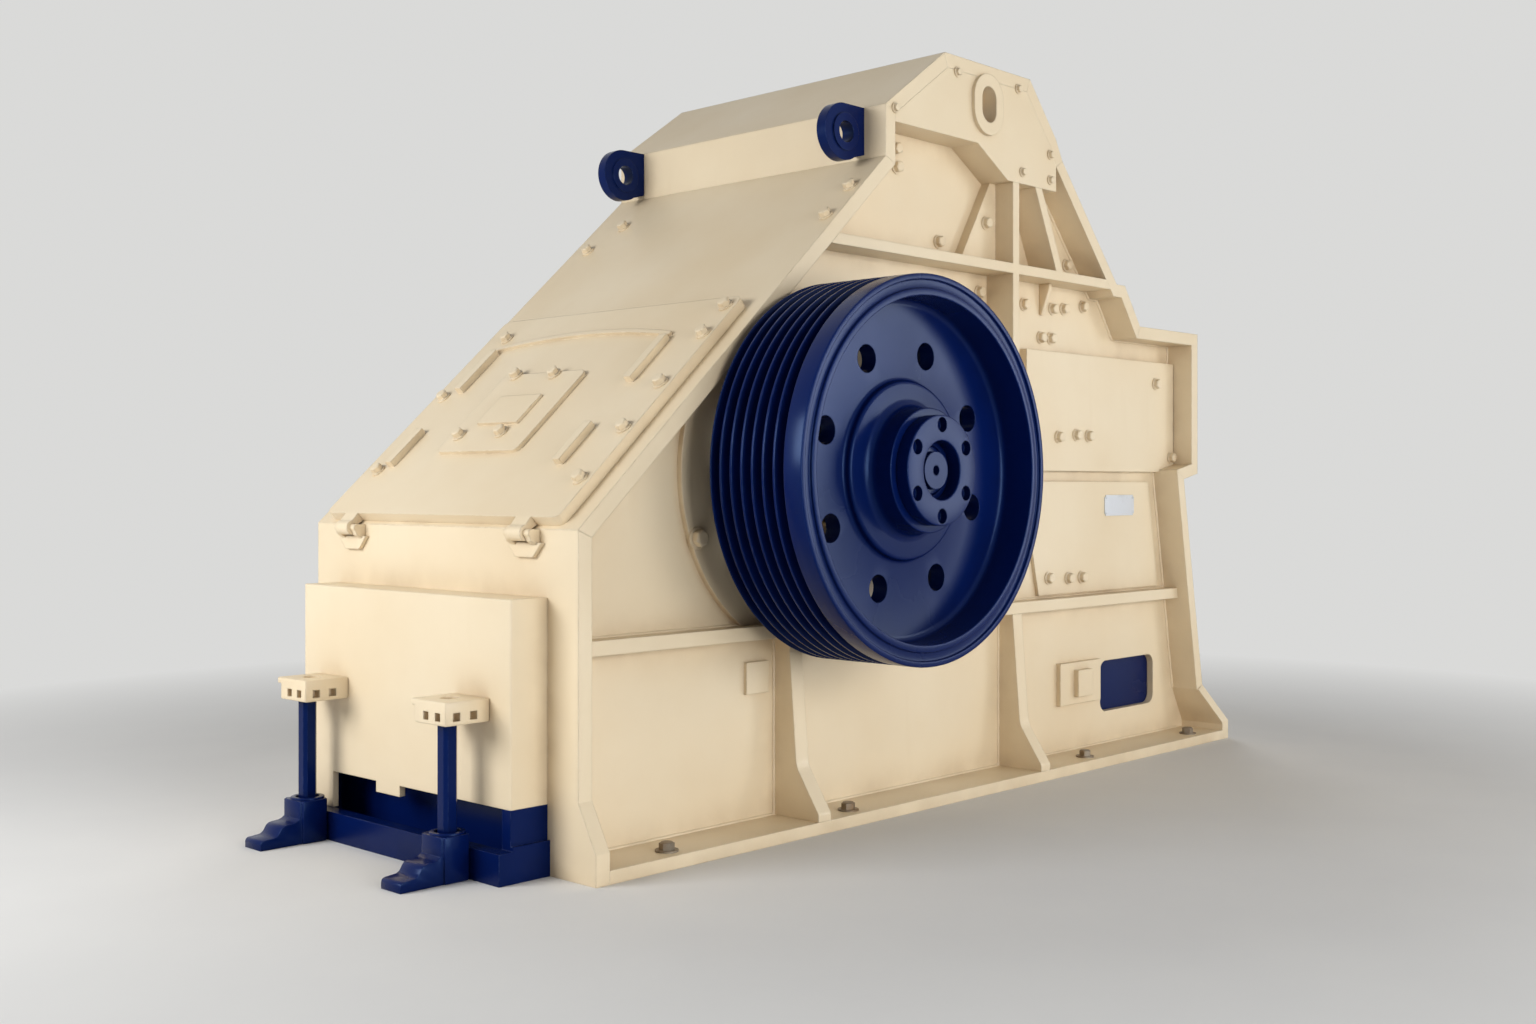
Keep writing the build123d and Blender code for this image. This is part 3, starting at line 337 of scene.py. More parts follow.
@dataclass(frozen=True)
class Paint:
    """Sprayed paint over plate: slight clouding, orange peel, soft edges with a painted highlight mixed
    into their wear, painted shade with grimy mottling in corners.

    Args:
        name: The material's name.
        colour: Linear colour of clean paint.
        shade: Linear colour of the clouded areas.
        grime_and_shade: Linear colour of the painted shade in corners and along seams, mottled into grimy
            patches.
        edge: Linear colour that edges turn to: a painted highlight, mixed with the paint wearing thin
            there.
        rough: Lowest roughness.
        rough_spread: How much roughness grows in clouded areas.
        peel: Strength of the orange peel.
        rounding: Radius of the rounded edges in metres.
        specular: The shader's specular level.
        tint: Colour of the gloss.
    """

    name: str
    colour: Point
    shade: Point
    grime_and_shade: Point
    edge: Point
    rough: float
    rough_spread: float
    peel: float
    rounding: float
    specular: float = 0.5
    tint: Point = (1.0, 1.0, 1.0)

    def material(self) -> bpy.types.Material:
        """Builds the material.

        Returns:
            The new material.
        """
        graph = Surface(self.name)
        shader, place = graph.shader, graph.place
        cloud = graph.pattern(place, CLOUD)
        streak = graph.pattern(graph.stretched(place, STREAK_STRETCH), STREAK)
        blend = graph.math("MAXIMUM", cloud, graph.math("MULTIPLY", streak, STREAK_WEIGHT))
        base = graph.mix(blend, self.colour, self.shade)
        # Painted shade: the paint darkens where occlusion finds corners, creases and seams, mottled by
        # noise into grimy patches.
        shade_probe = graph.add("ShaderNodeAmbientOcclusion", samples=SHADE_SAMPLES)
        shade_probe.inputs["Distance"].default_value = SHADE_REACH
        shade_closeness = graph.ramp(shade_probe.outputs["AO"], *SHADE_OPENNESS)
        dirt_and_shade = graph.math("MULTIPLY", shade_closeness, graph.pattern(place, DIRT_AND_SHADE_NOISE))
        base = graph.mix(graph.math("MULTIPLY", dirt_and_shade, DIRT_AND_SHADE_WEIGHT), base, self.grime_and_shade)
        # Painted highlight with wear: edges, found by the rounded normal, turn lighter where chip noise
        # lets them.
        round_off = graph.add("ShaderNodeBevel", samples=EDGE_SAMPLES)
        round_off.inputs["Radius"].default_value = self.rounding
        flat = graph.add("ShaderNodeNewGeometry").outputs["Normal"]
        turn = graph.add("ShaderNodeVectorMath", operation="DOT_PRODUCT")
        graph.join(round_off.outputs["Normal"], turn.inputs[0])
        graph.join(flat, turn.inputs[1])
        rim = graph.ramp(turn.outputs["Value"], *EDGE_TURN)
        edge_wear_and_highlight = graph.math("MULTIPLY", rim, graph.pattern(place, CHIP))
        graph.join(graph.mix(edge_wear_and_highlight, base, self.edge), shader.inputs["Base Color"])
        rough = graph.math("MULTIPLY_ADD", cloud, self.rough_spread, self.rough)
        graph.join(rough, shader.inputs["Roughness"])
        bump = graph.relief(graph.noise(place, PEEL_SCALE, PEEL_DETAIL), self.peel, PEEL_DEPTH)
        graph.join(round_off.outputs["Normal"], bump.inputs["Normal"])
        shader.inputs["Specular IOR Level"].default_value = self.specular
        shader.inputs["Specular Tint"].default_value = (*self.tint, 1.0)
        return graph.material


@dataclass(frozen=True)
class Metal:
    """Bare metal with turning marks or cast grain and a film of tarnish.

    Args:
        name: The material's name.
        colour: Linear colour of clean metal.
        tarnish: Linear colour of the film.
        cover: Factor of noise above which the film shows.
        rough: Roughness of clean metal.
        metallic: The shader's metallic value.
        grain: Scale of the grain along X, Y and Z.
        relief: Strength of the grain's bump.
    """

    name: str
    colour: Point
    tarnish: Point
    cover: float
    rough: float
    metallic: float
    grain: Point
    relief: float

    def material(self) -> bpy.types.Material:
        """Builds the material.

        Returns:
            The new material.
        """
        graph = Surface(self.name)
        shader, place = graph.shader, graph.place
        film = Pattern(FILM_SCALE, FILM_DETAIL, low=self.cover, high=self.cover + FILM_BLEND)
        covered = graph.pattern(place, film)
        graph.join(graph.mix(covered, self.colour, self.tarnish), shader.inputs["Base Color"])
        grain = graph.noise(graph.stretched(place, self.grain), GRAIN_SCALE, GRAIN_DETAIL)
        rough = graph.math("MULTIPLY_ADD", grain, GRAIN_ROUGH, self.rough)
        graph.join(rough, shader.inputs["Roughness"])
        graph.relief(grain, self.relief, GRAIN_DEPTH)
        shader.inputs["Metallic"].default_value = self.metallic
        return graph.material


CREAM = Paint(
    "cream_paint",
    colour=(0.83, 0.705, 0.505),
    shade=(0.775, 0.635, 0.43),
    # Painted shade in corners, mottled into grimy patches.
    grime_and_shade=(0.47, 0.34, 0.2),
    # Painted highlight on edges, mixed with wear.
    edge=(0.9, 0.8, 0.62),
    rough=0.36,
    rough_spread=0.14,
    peel=0.05,
    rounding=0.006,
)
BLUE = Paint(
    "navy_paint",
    colour=(0.0015, 0.0095, 0.085),
    shade=(0.001, 0.007, 0.06),
    # Painted shade in corners, mottled into grimy patches.
    grime_and_shade=(0.002, 0.003, 0.018),
    # Painted highlight on edges, mixed with wear.
    edge=(0.05, 0.075, 0.2),
    rough=0.19,
    rough_spread=0.1,
    peel=0.03,
    rounding=0.004,
    specular=0.2,
    tint=(0.32, 0.55, 1.0),
)
STEEL = Metal(
    "turned_steel",
    colour=(0.42, 0.42, 0.44),
    tarnish=(0.2, 0.17, 0.15),
    cover=0.55,
    rough=0.22,
    metallic=1.0,
    grain=(30.0, 900.0, 30.0),
    relief=0.15,
)
WEAR = Metal(
    "wear_steel",
    colour=(0.11, 0.1, 0.1),
    tarnish=(0.16, 0.075, 0.04),
    cover=0.5,
    rough=0.5,
    metallic=0.6,
    grain=(120.0, 120.0, 120.0),
    relief=0.5,
)
ANCHOR = Metal(
    "anchor_steel",
    colour=(0.27, 0.23, 0.18),
    tarnish=(0.24, 0.16, 0.09),
    cover=0.45,
    rough=0.42,
    metallic=0.8,
    grain=(260.0, 260.0, 260.0),
    relief=0.3,
)
PLATE = Metal(
    "plate_aluminium",
    colour=(0.55, 0.57, 0.6),
    tarnish=(0.4, 0.41, 0.43),
    cover=0.6,
    rough=0.3,
    metallic=0.9,
    grain=(900.0, 60.0, 25.0),
    relief=0.1,
)


class Finishes:
    """All materials, made once."""

    def __init__(self) -> None:
        """Builds each finish's material."""
        self.cream = CREAM.material()
        self.blue = BLUE.material()
        self.steel = STEEL.material()
        self.wear = WEAR.material()
        self.anchor = ANCHOR.material()
        self.plate = PLATE.material()

    def of_slot(self, slot: Slot) -> bpy.types.Material:
        """Gives the material of a record slot."""
        return {
            Slot.CREAM: self.cream,
            Slot.BLUE: self.blue,
            Slot.STEEL: self.steel,
            Slot.DARK: self.wear,
        }[slot]


def placed(name: str, data: bpy.types.ID) -> bpy.types.Object:
    """Makes an object and links it to the scene.

    Args:
        name: The object's name.
        data: Its mesh, lamp or camera.

    Returns:
        The new object.
    """
    item = bpy.data.objects.new(name, data)
    bpy.context.scene.collection.objects.link(item)
    return item


def settle(
    mesh: bpy.types.Mesh,
    name: str,
    body: Body,
    finish: bpy.types.Material,
    smooth_angle: float = 32.0,
) -> bpy.types.Object:
    """Links a finished mesh as a piece that rides on a body.

    Args:
        mesh: The mesh, with its place in its vertices.
        name: The piece's name.
        body: The body it rides on.
        finish: Its material.
        smooth_angle: Edges turned by more degrees stay sharp.

    Returns:
        The new object.
    """
    mesh.materials.clear()
    mesh.materials.append(finish)
    mesh.shade_smooth()
    mesh.set_sharp_from_angle(angle=math.radians(smooth_angle))
    piece = placed(name, mesh)
    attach(piece, body.value)
    LOG.info("%s: %d faces on %s", name, len(mesh.polygons), body.value)
    return piece


def applied(holder: bpy.types.Object) -> bpy.types.Mesh:
    """Gives an object's mesh with its modifiers applied, and removes it and its cutters.

    Args:
        holder: A linked object with modifiers.

    Returns:
        The plain mesh.
    """
    others = [modifier.object for modifier in holder.modifiers if modifier.type == "BOOLEAN"]
    bpy.context.view_layer.update()
    graph = bpy.context.evaluated_depsgraph_get()
    mesh = bpy.data.meshes.new_from_object(holder.evaluated_get(graph), depsgraph=graph)
    holder.modifiers.clear()
    for item in (holder, *others):
        bpy.data.objects.remove(item)
    return mesh


def from_tree(
    name: str,
    carrier: bpy.types.Mesh,
    tree: bpy.types.NodeTree,
    values: dict[str, object],
) -> bpy.types.Mesh:
    """Runs a geometry tree on a carrier mesh and keeps the result as a plain mesh.

    Args:
        name: The name of the mesh.
        carrier: Points or edges that the tree reads.
        tree: The geometry tree.
        values: The tree's inputs by their names.

    Returns:
        The evaluated mesh.
    """
    holder = placed(name + ".carrier", carrier)
    modifier = holder.modifiers.new("tree", "NODES")
    modifier.node_group = tree
    sockets = {s.name: s.identifier for s in tree.interface.items_tree if s.in_out == "INPUT"}
    for label, value in values.items():
        modifier[sockets[label]] = value
    mesh = applied(holder)
    mesh.name = name
    return mesh


def linked(name: str, shape: bmesh.types.BMesh) -> bpy.types.Object:
    """Turns a bmesh into a linked object.

    Args:
        name: The object's name.
        shape: The shape, which is freed.

    Returns:
        The linked object.
    """
    bmesh.ops.recalc_face_normals(shape, faces=shape.faces)
    mesh = bpy.data.meshes.new(name)
    shape.to_mesh(mesh)
    shape.free()
    return placed(name, mesh)


def lathe(profile: list[Flat], axis_x: float, axis_z: float, steps: int) -> bmesh.types.BMesh:
    """Turns a closed profile of radius and Y points about an axis along Y.

    Args:
        profile: Radius and Y of each point, in order round the section.
        axis_x: The axis's X.
        axis_z: The axis's Z.
        steps: How many sections make the full turn.

    Returns:
        The turned shape.
    """
    shape = bmesh.new()
    rings = []
    for step in range(steps):
        angle = 2 * math.pi * step / steps
        cos, sin = math.cos(angle), math.sin(angle)
        rings.append([shape.verts.new((axis_x + r * cos, y, axis_z + r * sin)) for r, y in profile])
    count = len(profile)
    for step in range(steps):
        here, there = rings[step], rings[(step + 1) % steps]
        for index in range(count):
            after = (index + 1) % count
            shape.faces.new((here[index], here[after], there[after], there[index]))
    return shape


def softened(profile: list[Point], steps: int = 4, share: float = 0.45) -> list[Flat]:
    """Rounds the corners of a closed profile.

    Args:
        profile: Both coordinates of each corner, and its largest rounding.
        steps: How many spans each rounding gets.
        share: The largest part of an edge that a rounding takes.

    Returns:
        The rounded profile.
    """
    result: list[Flat] = []
    count = len(profile)
    for index, (across, along, radius) in enumerate(profile):
        here = Vector((across, along))
        before = Vector(profile[index - 1][:2]) - here
        after = Vector(profile[(index + 1) % count][:2]) - here
        reach = min(radius, before.length * share, after.length * share)
        start, end = here + before.normalized() * reach, here + after.normalized() * reach
        for step in range(steps + 1):
            t = step / steps
            point = start * (1 - t) ** 2 + here * (2 * t * (1 - t)) + end * t**2
            result.append((point.x, point.y))
    return result


def drum(centre: Vector, axis: Vector, radius: float, length: float, steps: int) -> bmesh.types.BMesh:
    """Makes a closed cylinder about a centre.

    Args:
        centre: The middle of the cylinder.
        axis: The direction of its axis.
        radius: Its radius.
        length: Its length.
        steps: How many sides it has.

    Returns:
        The cylinder.
    """
    turn = axis.to_track_quat("Z", "Y").to_matrix().to_4x4()
    shape = bmesh.new()
    bmesh.ops.create_cone(
        shape,
        cap_ends=True,
        segments=steps,
        radius1=radius,
        radius2=radius,
        depth=length,
        matrix=Matrix.Translation(centre) @ turn,
    )
    return shape


def bar(section: list[Flat], start: float, end: float) -> bmesh.types.BMesh:
    """Makes a solid of one section that runs along X.

    Args:
        section: The section's corners as Y and Z, in turn.
        start: The X of one end.
        end: The X of the other end.

    Returns:
        The solid, with its normals outward.
    """
    shape = bmesh.new()
    first = shape.faces.new([shape.verts.new((start, y, z)) for y, z in section])
    swept = bmesh.ops.extrude_face_region(shape, geom=[first], use_keep_orig=True)
    moved = [item for item in swept["geom"] if isinstance(item, bmesh.types.BMVert)]
    bmesh.ops.translate(shape, vec=(end - start, 0.0, 0.0), verts=moved)
    bmesh.ops.recalc_face_normals(shape, faces=shape.faces)
    return shape


def slab(low: Point, high: Point) -> bmesh.types.BMesh:
    """Makes a block.

    Args:
        low: Its lowest corner.
        high: Its highest corner.

    Returns:
        The block.
    """
    size = Matrix.Diagonal((*(Vector(high) - Vector(low)), 1.0))
    place = Matrix.Translation((Vector(low) + Vector(high)) / 2)
    shape = bmesh.new()
    bmesh.ops.create_cube(shape, size=1.0, matrix=place @ size)
    return shape


def round_corners(block: bmesh.types.BMesh, axis: Vector, radius: float, steps: int = 4) -> None:
    """Rounds the edges of a block that run along an axis.

    Args:
        block: The block.
        axis: The axis's direction.
        radius: The rounding's size.
        steps: How many spans each rounding gets.
    """
    runs = {edge: edge.verts[0].co - edge.verts[1].co for edge in block.edges}
    along = [edge for edge, run in runs.items() if abs(run.dot(axis)) > run.length / 2]
    bmesh.ops.bevel(block, geom=along, offset=radius, segments=steps, affect="EDGES")


def rounded(item: bpy.types.Object, width: float, limit: float = 30.0, steps: int = 2) -> None:
    """Adds a modifier that rounds an object's sharp edges.

    Args:
        item: The object.
        width: The rounding's width.
        limit: Edges turned by more degrees are rounded.
        steps: How many spans each rounding gets.
    """
    edge = item.modifiers.new("edge", "BEVEL")
    edge.width = width
    edge.segments = steps
    edge.limit_method = "ANGLE"
    edge.angle_limit = math.radians(limit)


def combine(target: bpy.types.Object, other: bpy.types.Object, way: Solid) -> None:
    """Adds a modifier that joins an object to another or cuts it out.

    Args:
        target: The object that is changed.
        other: The object that is joined or cut out.
        way: Which of the two is done.
    """
    modifier = target.modifiers.new("combine", "BOOLEAN")
    modifier.operation = way.value
    modifier.solver = "EXACT"
    modifier.object = other


def cut(target: bpy.types.Object, tools: list[bmesh.types.BMesh]) -> None:
    """Cuts the tools out of an object, all joined in one cutter.

    Args:
        target: The object that is cut.
        tools: Closed shapes that don't meet.
    """
    joined = bmesh.new()
    for tool in tools:
        mesh = bpy.data.meshes.new("tool")
        bmesh.ops.recalc_face_normals(tool, faces=tool.faces)
        tool.to_mesh(mesh)
        tool.free()
        joined.from_mesh(mesh)
        bpy.data.meshes.remove(mesh)
    combine(target, linked(target.name + ".cutter", joined), Solid.CUT)


class PieceTree(NodeGraph):
    """A geometry tree with named sizes and a finish."""

    def __init__(self, name: str, takes: str, sizes: tuple[str, ...], gives: str) -> None:
        """Makes the tree with its inputs and its output.

        Args:
            name: The tree's name.
            takes: The label of the geometry that it reads.
            sizes: The labels of its sizes.
            gives: The label of its result.
        """
        tree = bpy.data.node_groups.new(name, "GeometryNodeTree")
        face = tree.interface
        face.new_socket(takes, in_out="INPUT", socket_type="NodeSocketGeometry")
        for label in sizes:
            face.new_socket(label, in_out="INPUT", socket_type="NodeSocketFloat")
        face.new_socket("Finish", in_out="INPUT", socket_type="NodeSocketMaterial")
        face.new_socket(gives, in_out="OUTPUT", socket_type="NodeSocketGeometry")
        super().__init__(tree)
        self.given = self.add("NodeGroupInput").outputs
        self.result = self.add("NodeGroupOutput").inputs[gives]

    def give(self, geometry: bpy.types.NodeSocket) -> None:
        """Realizes the geometry, sets its finish and makes it the result.

        Args:
            geometry: The geometry's socket.
        """
        real = self.add("GeometryNodeRealizeInstances")
        self.join(geometry, real.inputs[0])
        paint = self.add("GeometryNodeSetMaterial")
        self.join(real.outputs[0], paint.inputs["Geometry"])
        self.join(self.given["Finish"], paint.inputs["Material"])
        self.join(paint.outputs[0], self.result)


class BoltTree(PieceTree):
    """Geometry tree that sets a hexagon bolt with its washer on every point."""

    washer_sides: int = 28
    head_sides: int = 6
    crown_sides: int = 24
    crown_taper: float = 0.86
    crown_height: float = 0.16
    seed: int = 5

    def __init__(self) -> None:
        """Builds the tree with its named inputs."""
        labels = ("Head Radius", "Head Height", "Washer Radius", "Washer Height")
        super().__init__("hexagon_bolts", "Points", labels, "Bolts")
        head_radius, head_height, washer_radius, washer_height = (self.given[label] for label in labels)
        washer = self.stub(self.washer_sides, washer_radius, washer_radius, washer_height)
        head = self.stub(self.head_sides, head_radius, head_radius, head_height)
        crown_foot = self.math("MULTIPLY", head_radius, self.crown_taper)
        crown_top = self.math("MULTIPLY", crown_foot, self.crown_taper)
        crown_height = self.math("MULTIPLY", head_height, self.crown_height)
        crown = self.stub(self.crown_sides, crown_foot, crown_top, crown_height)
        head_top = self.math("ADD", washer_height, head_height)
        stack = self.add("GeometryNodeJoinGeometry")
        self.join(washer, stack.inputs[0])
        self.join(self.raised(head, washer_height), stack.inputs[0])
        self.join(self.raised(crown, head_top), stack.inputs[0])
        spread = self.add("GeometryNodeInstanceOnPoints")
        self.join(self.given["Points"], spread.inputs["Points"])
        self.join(stack.outputs[0], spread.inputs["Instance"])
        self.join(self.turned(), spread.inputs["Rotation"])
        self.give(spread.outputs[0])

    def stub(
        self,
        sides: int,
        low: bpy.types.NodeSocket,
        high: bpy.types.NodeSocket,
        height: bpy.types.NodeSocket,
    ) -> bpy.types.NodeSocket:
        """Adds a round or hexagon stub that stands on its origin.

        Args:
            sides: How many sides the stub has.
            low: Its radius at the foot.
            high: Its radius at the top.
            height: Its height.

        Returns:
            The stub's mesh socket.
        """
        node = self.add("GeometryNodeMeshCone")
        node.inputs["Vertices"].default_value = sides
        self.join(low, node.inputs["Radius Bottom"])
        self.join(high, node.inputs["Radius Top"])
        self.join(height, node.inputs["Depth"])
        return node.outputs["Mesh"]

    def raised(self, mesh: bpy.types.NodeSocket, height: bpy.types.NodeSocket) -> bpy.types.NodeSocket:
        """Lifts a mesh along Z.

        Args:
            mesh: The mesh socket.
            height: How far it goes up.

        Returns:
            The lifted mesh's socket.
        """
        offset = self.add("ShaderNodeCombineXYZ")
        self.join(height, offset.inputs["Z"])
        node = self.add("GeometryNodeTransform")
        self.join(mesh, node.inputs["Geometry"])
        self.join(offset.outputs[0], node.inputs["Translation"])
        return node.outputs[0]

    def turned(self) -> bpy.types.NodeSocket:
        """Points each bolt out of its face and turns it by chance about its axis.

        Returns:
            The rotation's socket.
        """
        facing = self.add("GeometryNodeInputNamedAttribute", data_type="FLOAT_VECTOR")
        facing.inputs["Name"].default_value = "facing"
        align = self.add("FunctionNodeAlignRotationToVector", axis="Z")
        self.join(facing.outputs["Attribute"], align.inputs["Vector"])
        turn = self.add("FunctionNodeRandomValue", data_type="FLOAT_VECTOR")
        turn.inputs["Min"].default_value = (0.0, 0.0, 0.0)
        turn.inputs["Max"].default_value = (0.0, 0.0, math.tau)
        turn.inputs["Seed"].default_value = self.seed
        spin = self.add("FunctionNodeRotateRotation", rotation_space="LOCAL")
        self.join(align.outputs[0], spin.inputs[0])
        self.join(turn.outputs["Value"], spin.inputs[1])
        return spin.outputs[0]


class SeamTree(PieceTree):
    """Geometry tree that lays a rippled weld bead along every chain of edges."""

    bead_sides: int = 7
    seed: int = 11
    number_range: tuple[int, int] = (2, 3)
    number_result: int = 1

    def __init__(self) -> None:
        """Builds the tree with its named inputs."""
        super().__init__("weld_bead", "Lines", ("Bead Radius", "Step", "Ripple"), "Bead")
        curve = self.add("GeometryNodeMeshToCurve")
        self.join(self.given["Lines"], curve.inputs["Mesh"])
        even = self.add("GeometryNodeResampleCurve", mode="LENGTH")
        self.join(curve.outputs[0], even.inputs["Curve"])
        self.join(self.given["Step"], even.inputs["Length"])
        wobble = self.add("FunctionNodeRandomValue", data_type="FLOAT")
        wobble.inputs["Seed"].default_value = self.seed
        least, most = (wobble.inputs[index] for index in self.number_range)
        self.join(self.math("SUBTRACT", 1.0, self.given["Ripple"]), least)
        most.default_value = 1.0
        ring = self.add("GeometryNodeCurvePrimitiveCircle")
        ring.inputs["Resolution"].default_value = self.bead_sides
        self.join(self.given["Bead Radius"], ring.inputs["Radius"])
        bead = self.add("GeometryNodeCurveToMesh")
        self.join(even.outputs[0], bead.inputs["Curve"])
        self.join(ring.outputs[0], bead.inputs["Profile Curve"])
        self.join(wobble.outputs[self.number_result], bead.inputs["Scale"])
        bead.inputs["Fill Caps"].default_value = True
        self.give(bead.outputs[0])


@dataclass(frozen=True)
class BoltSize:
    """The sizes of a bolt.

    Args:
        head: Radius over the head's corners.
        height: Height of the head.
        washer: Radius of the washer.
        washer_height: Height of the washer.
    """

    head: float
    height: float
    washer: float
    washer_height: float = 0.005


PLATE_BOLT = BoltSize(head=0.021, height=0.017, washer=0.026)
CHEEK_BOLT = BoltSize(head=0.014, height=0.010, washer=0.019)
COVER_BOLT = BoltSize(head=0.028, height=0.022, washer=0.036)
ANCHOR_BOLT = BoltSize(head=0.024, height=0.02, washer=0.036)


@dataclass
class BoltRow:
    """Bolts of one size on one body.

    Args:
        name: The piece's name.
        body: The body that carries them.
        places: Each bolt's foot and the direction it points in.
        size: The bolts' size.
        slot: The record's slot; not used.
    """

    name: str
    body: Body
    places: list[Place]
    size: BoltSize = PLATE_BOLT
    slot: Slot = Slot.CREAM

    def build(self, tree: bpy.types.NodeTree, finish: bpy.types.Material) -> None:
        """Sets the bolts.

        Args:
            tree: The bolt tree.
            finish: The bolts' material.
        """
        carrier = bpy.data.meshes.new(self.name)
        carrier.from_pydata([foot for foot, _ in self.places], [], [])
        facing = carrier.attributes.new("facing", "FLOAT_VECTOR", "POINT")
        for item, (_, way) in zip(facing.data, self.places):
            item.vector = way
        values = {
            "Head Radius": self.size.head,
            "Head Height": self.size.height,
            "Washer Radius": self.size.washer,
            "Washer Height": self.size.washer_height,
            "Finish": finish,
        }
        settle(from_tree(self.name, carrier, tree, values), self.name, self.body, finish)


@dataclass
class SideOutline:
    """The housing's side outline and the planes that its side walls lie in."""

    rim_y: float = 0.693
    wall_y: float = 0.569
    plate: float = 0.052
    points: tuple[Flat, ...] = (
        (-1.907, 0.0),
        (-1.907, 1.009),
        (-0.520, 2.286),
        (-0.520, 2.468),
        (-0.181, 2.712),
        (0.363, 2.712),
        (0.545, 2.507),
        (0.590, 2.429),
        (1.000, 1.975),
        (1.065, 1.975),
        (1.187, 1.813),
        (1.684, 1.813),
        (1.684, 1.190),
        (1.562, 1.165),
        (1.728, 0.242),
        (1.820, 0.080),
        (1.820, 0.0),
    )

    def inset(self, depth: float) -> list[Flat]:
        """Moves every edge of the outline inwards.

        Args:
            depth: How far the edges move.

        Returns:
            The corners of the smaller outline.
        """
        corners = [Vector(point) for point in self.points]
        count = len(corners)
        lines = []
        for index in range(count):
            run = (corners[(index + 1) % count] - corners[index]).normalized()
            lines.append((corners[index] + Vector((run.y, -run.x)) * depth, run))
        result = []
        for index in range(count):
            (p, a), (q, b) = lines[index - 1], lines[index]
            cross = a.x * b.y - a.y * b.x
            gap = q - p
            point = p + a * ((gap.x * b.y - gap.y * b.x) / cross)
            result.append((point.x, point.y))
        return result


@dataclass
class FrontSlope:
    """The sloping front that carries the hatch.

    Args:
        outline: The housing's side outline.
    """

    outline: SideOutline

    def places(self, flats: tuple[Flat, ...], out: float) -> list[Place]:
        """Gives places for bolts on the slope.

        Args:
            flats: Each bolt's distance up the slope from its lower edge, and its Y.
            out: Distance out of the slope's face.

        Returns:
            The bolts' feet and directions.
        """
        (foot_x, foot_z), (top_x, top_z) = self.outline.points[1:3]
        foot = Vector((foot_x, 0.0, foot_z))
        run = Vector((top_x - foot_x, 0.0, top_z - foot_z)).normalized()
        way = Vector((-run.z, 0.0, run.x))
        return [(foot + run * along + ACROSS * across + way * out, way) for along, across in flats]


@dataclass(frozen=True)
class HoleCircle:
    """Even holes on a circle about the shaft.

    Args:
        circle: The circle's radius.
        count: How many holes there are.
        turn: The first hole's angle in degrees.
        radius: The holes' radius.
        length: The length of the drill.
        sides: How many sides a hole has.
    """

    circle: float
    count: int
    turn: float
    radius: float
    length: float
    sides: int

    def drills(self, centre: Vector) -> list[bmesh.types.BMesh]:
        """Makes the solids that cut the holes.

        Args:
            centre: The point of the axis that is level with the drills' middles.

        Returns:
            One solid for each hole.
        """
        result = []
        for index in range(self.count):
            angle = math.radians(self.turn + index * 360.0 / self.count)
            away = Vector((math.cos(angle), 0.0, math.sin(angle))) * self.circle
            result.append(drum(centre + away, ACROSS, self.radius, self.length, self.sides))
        return result


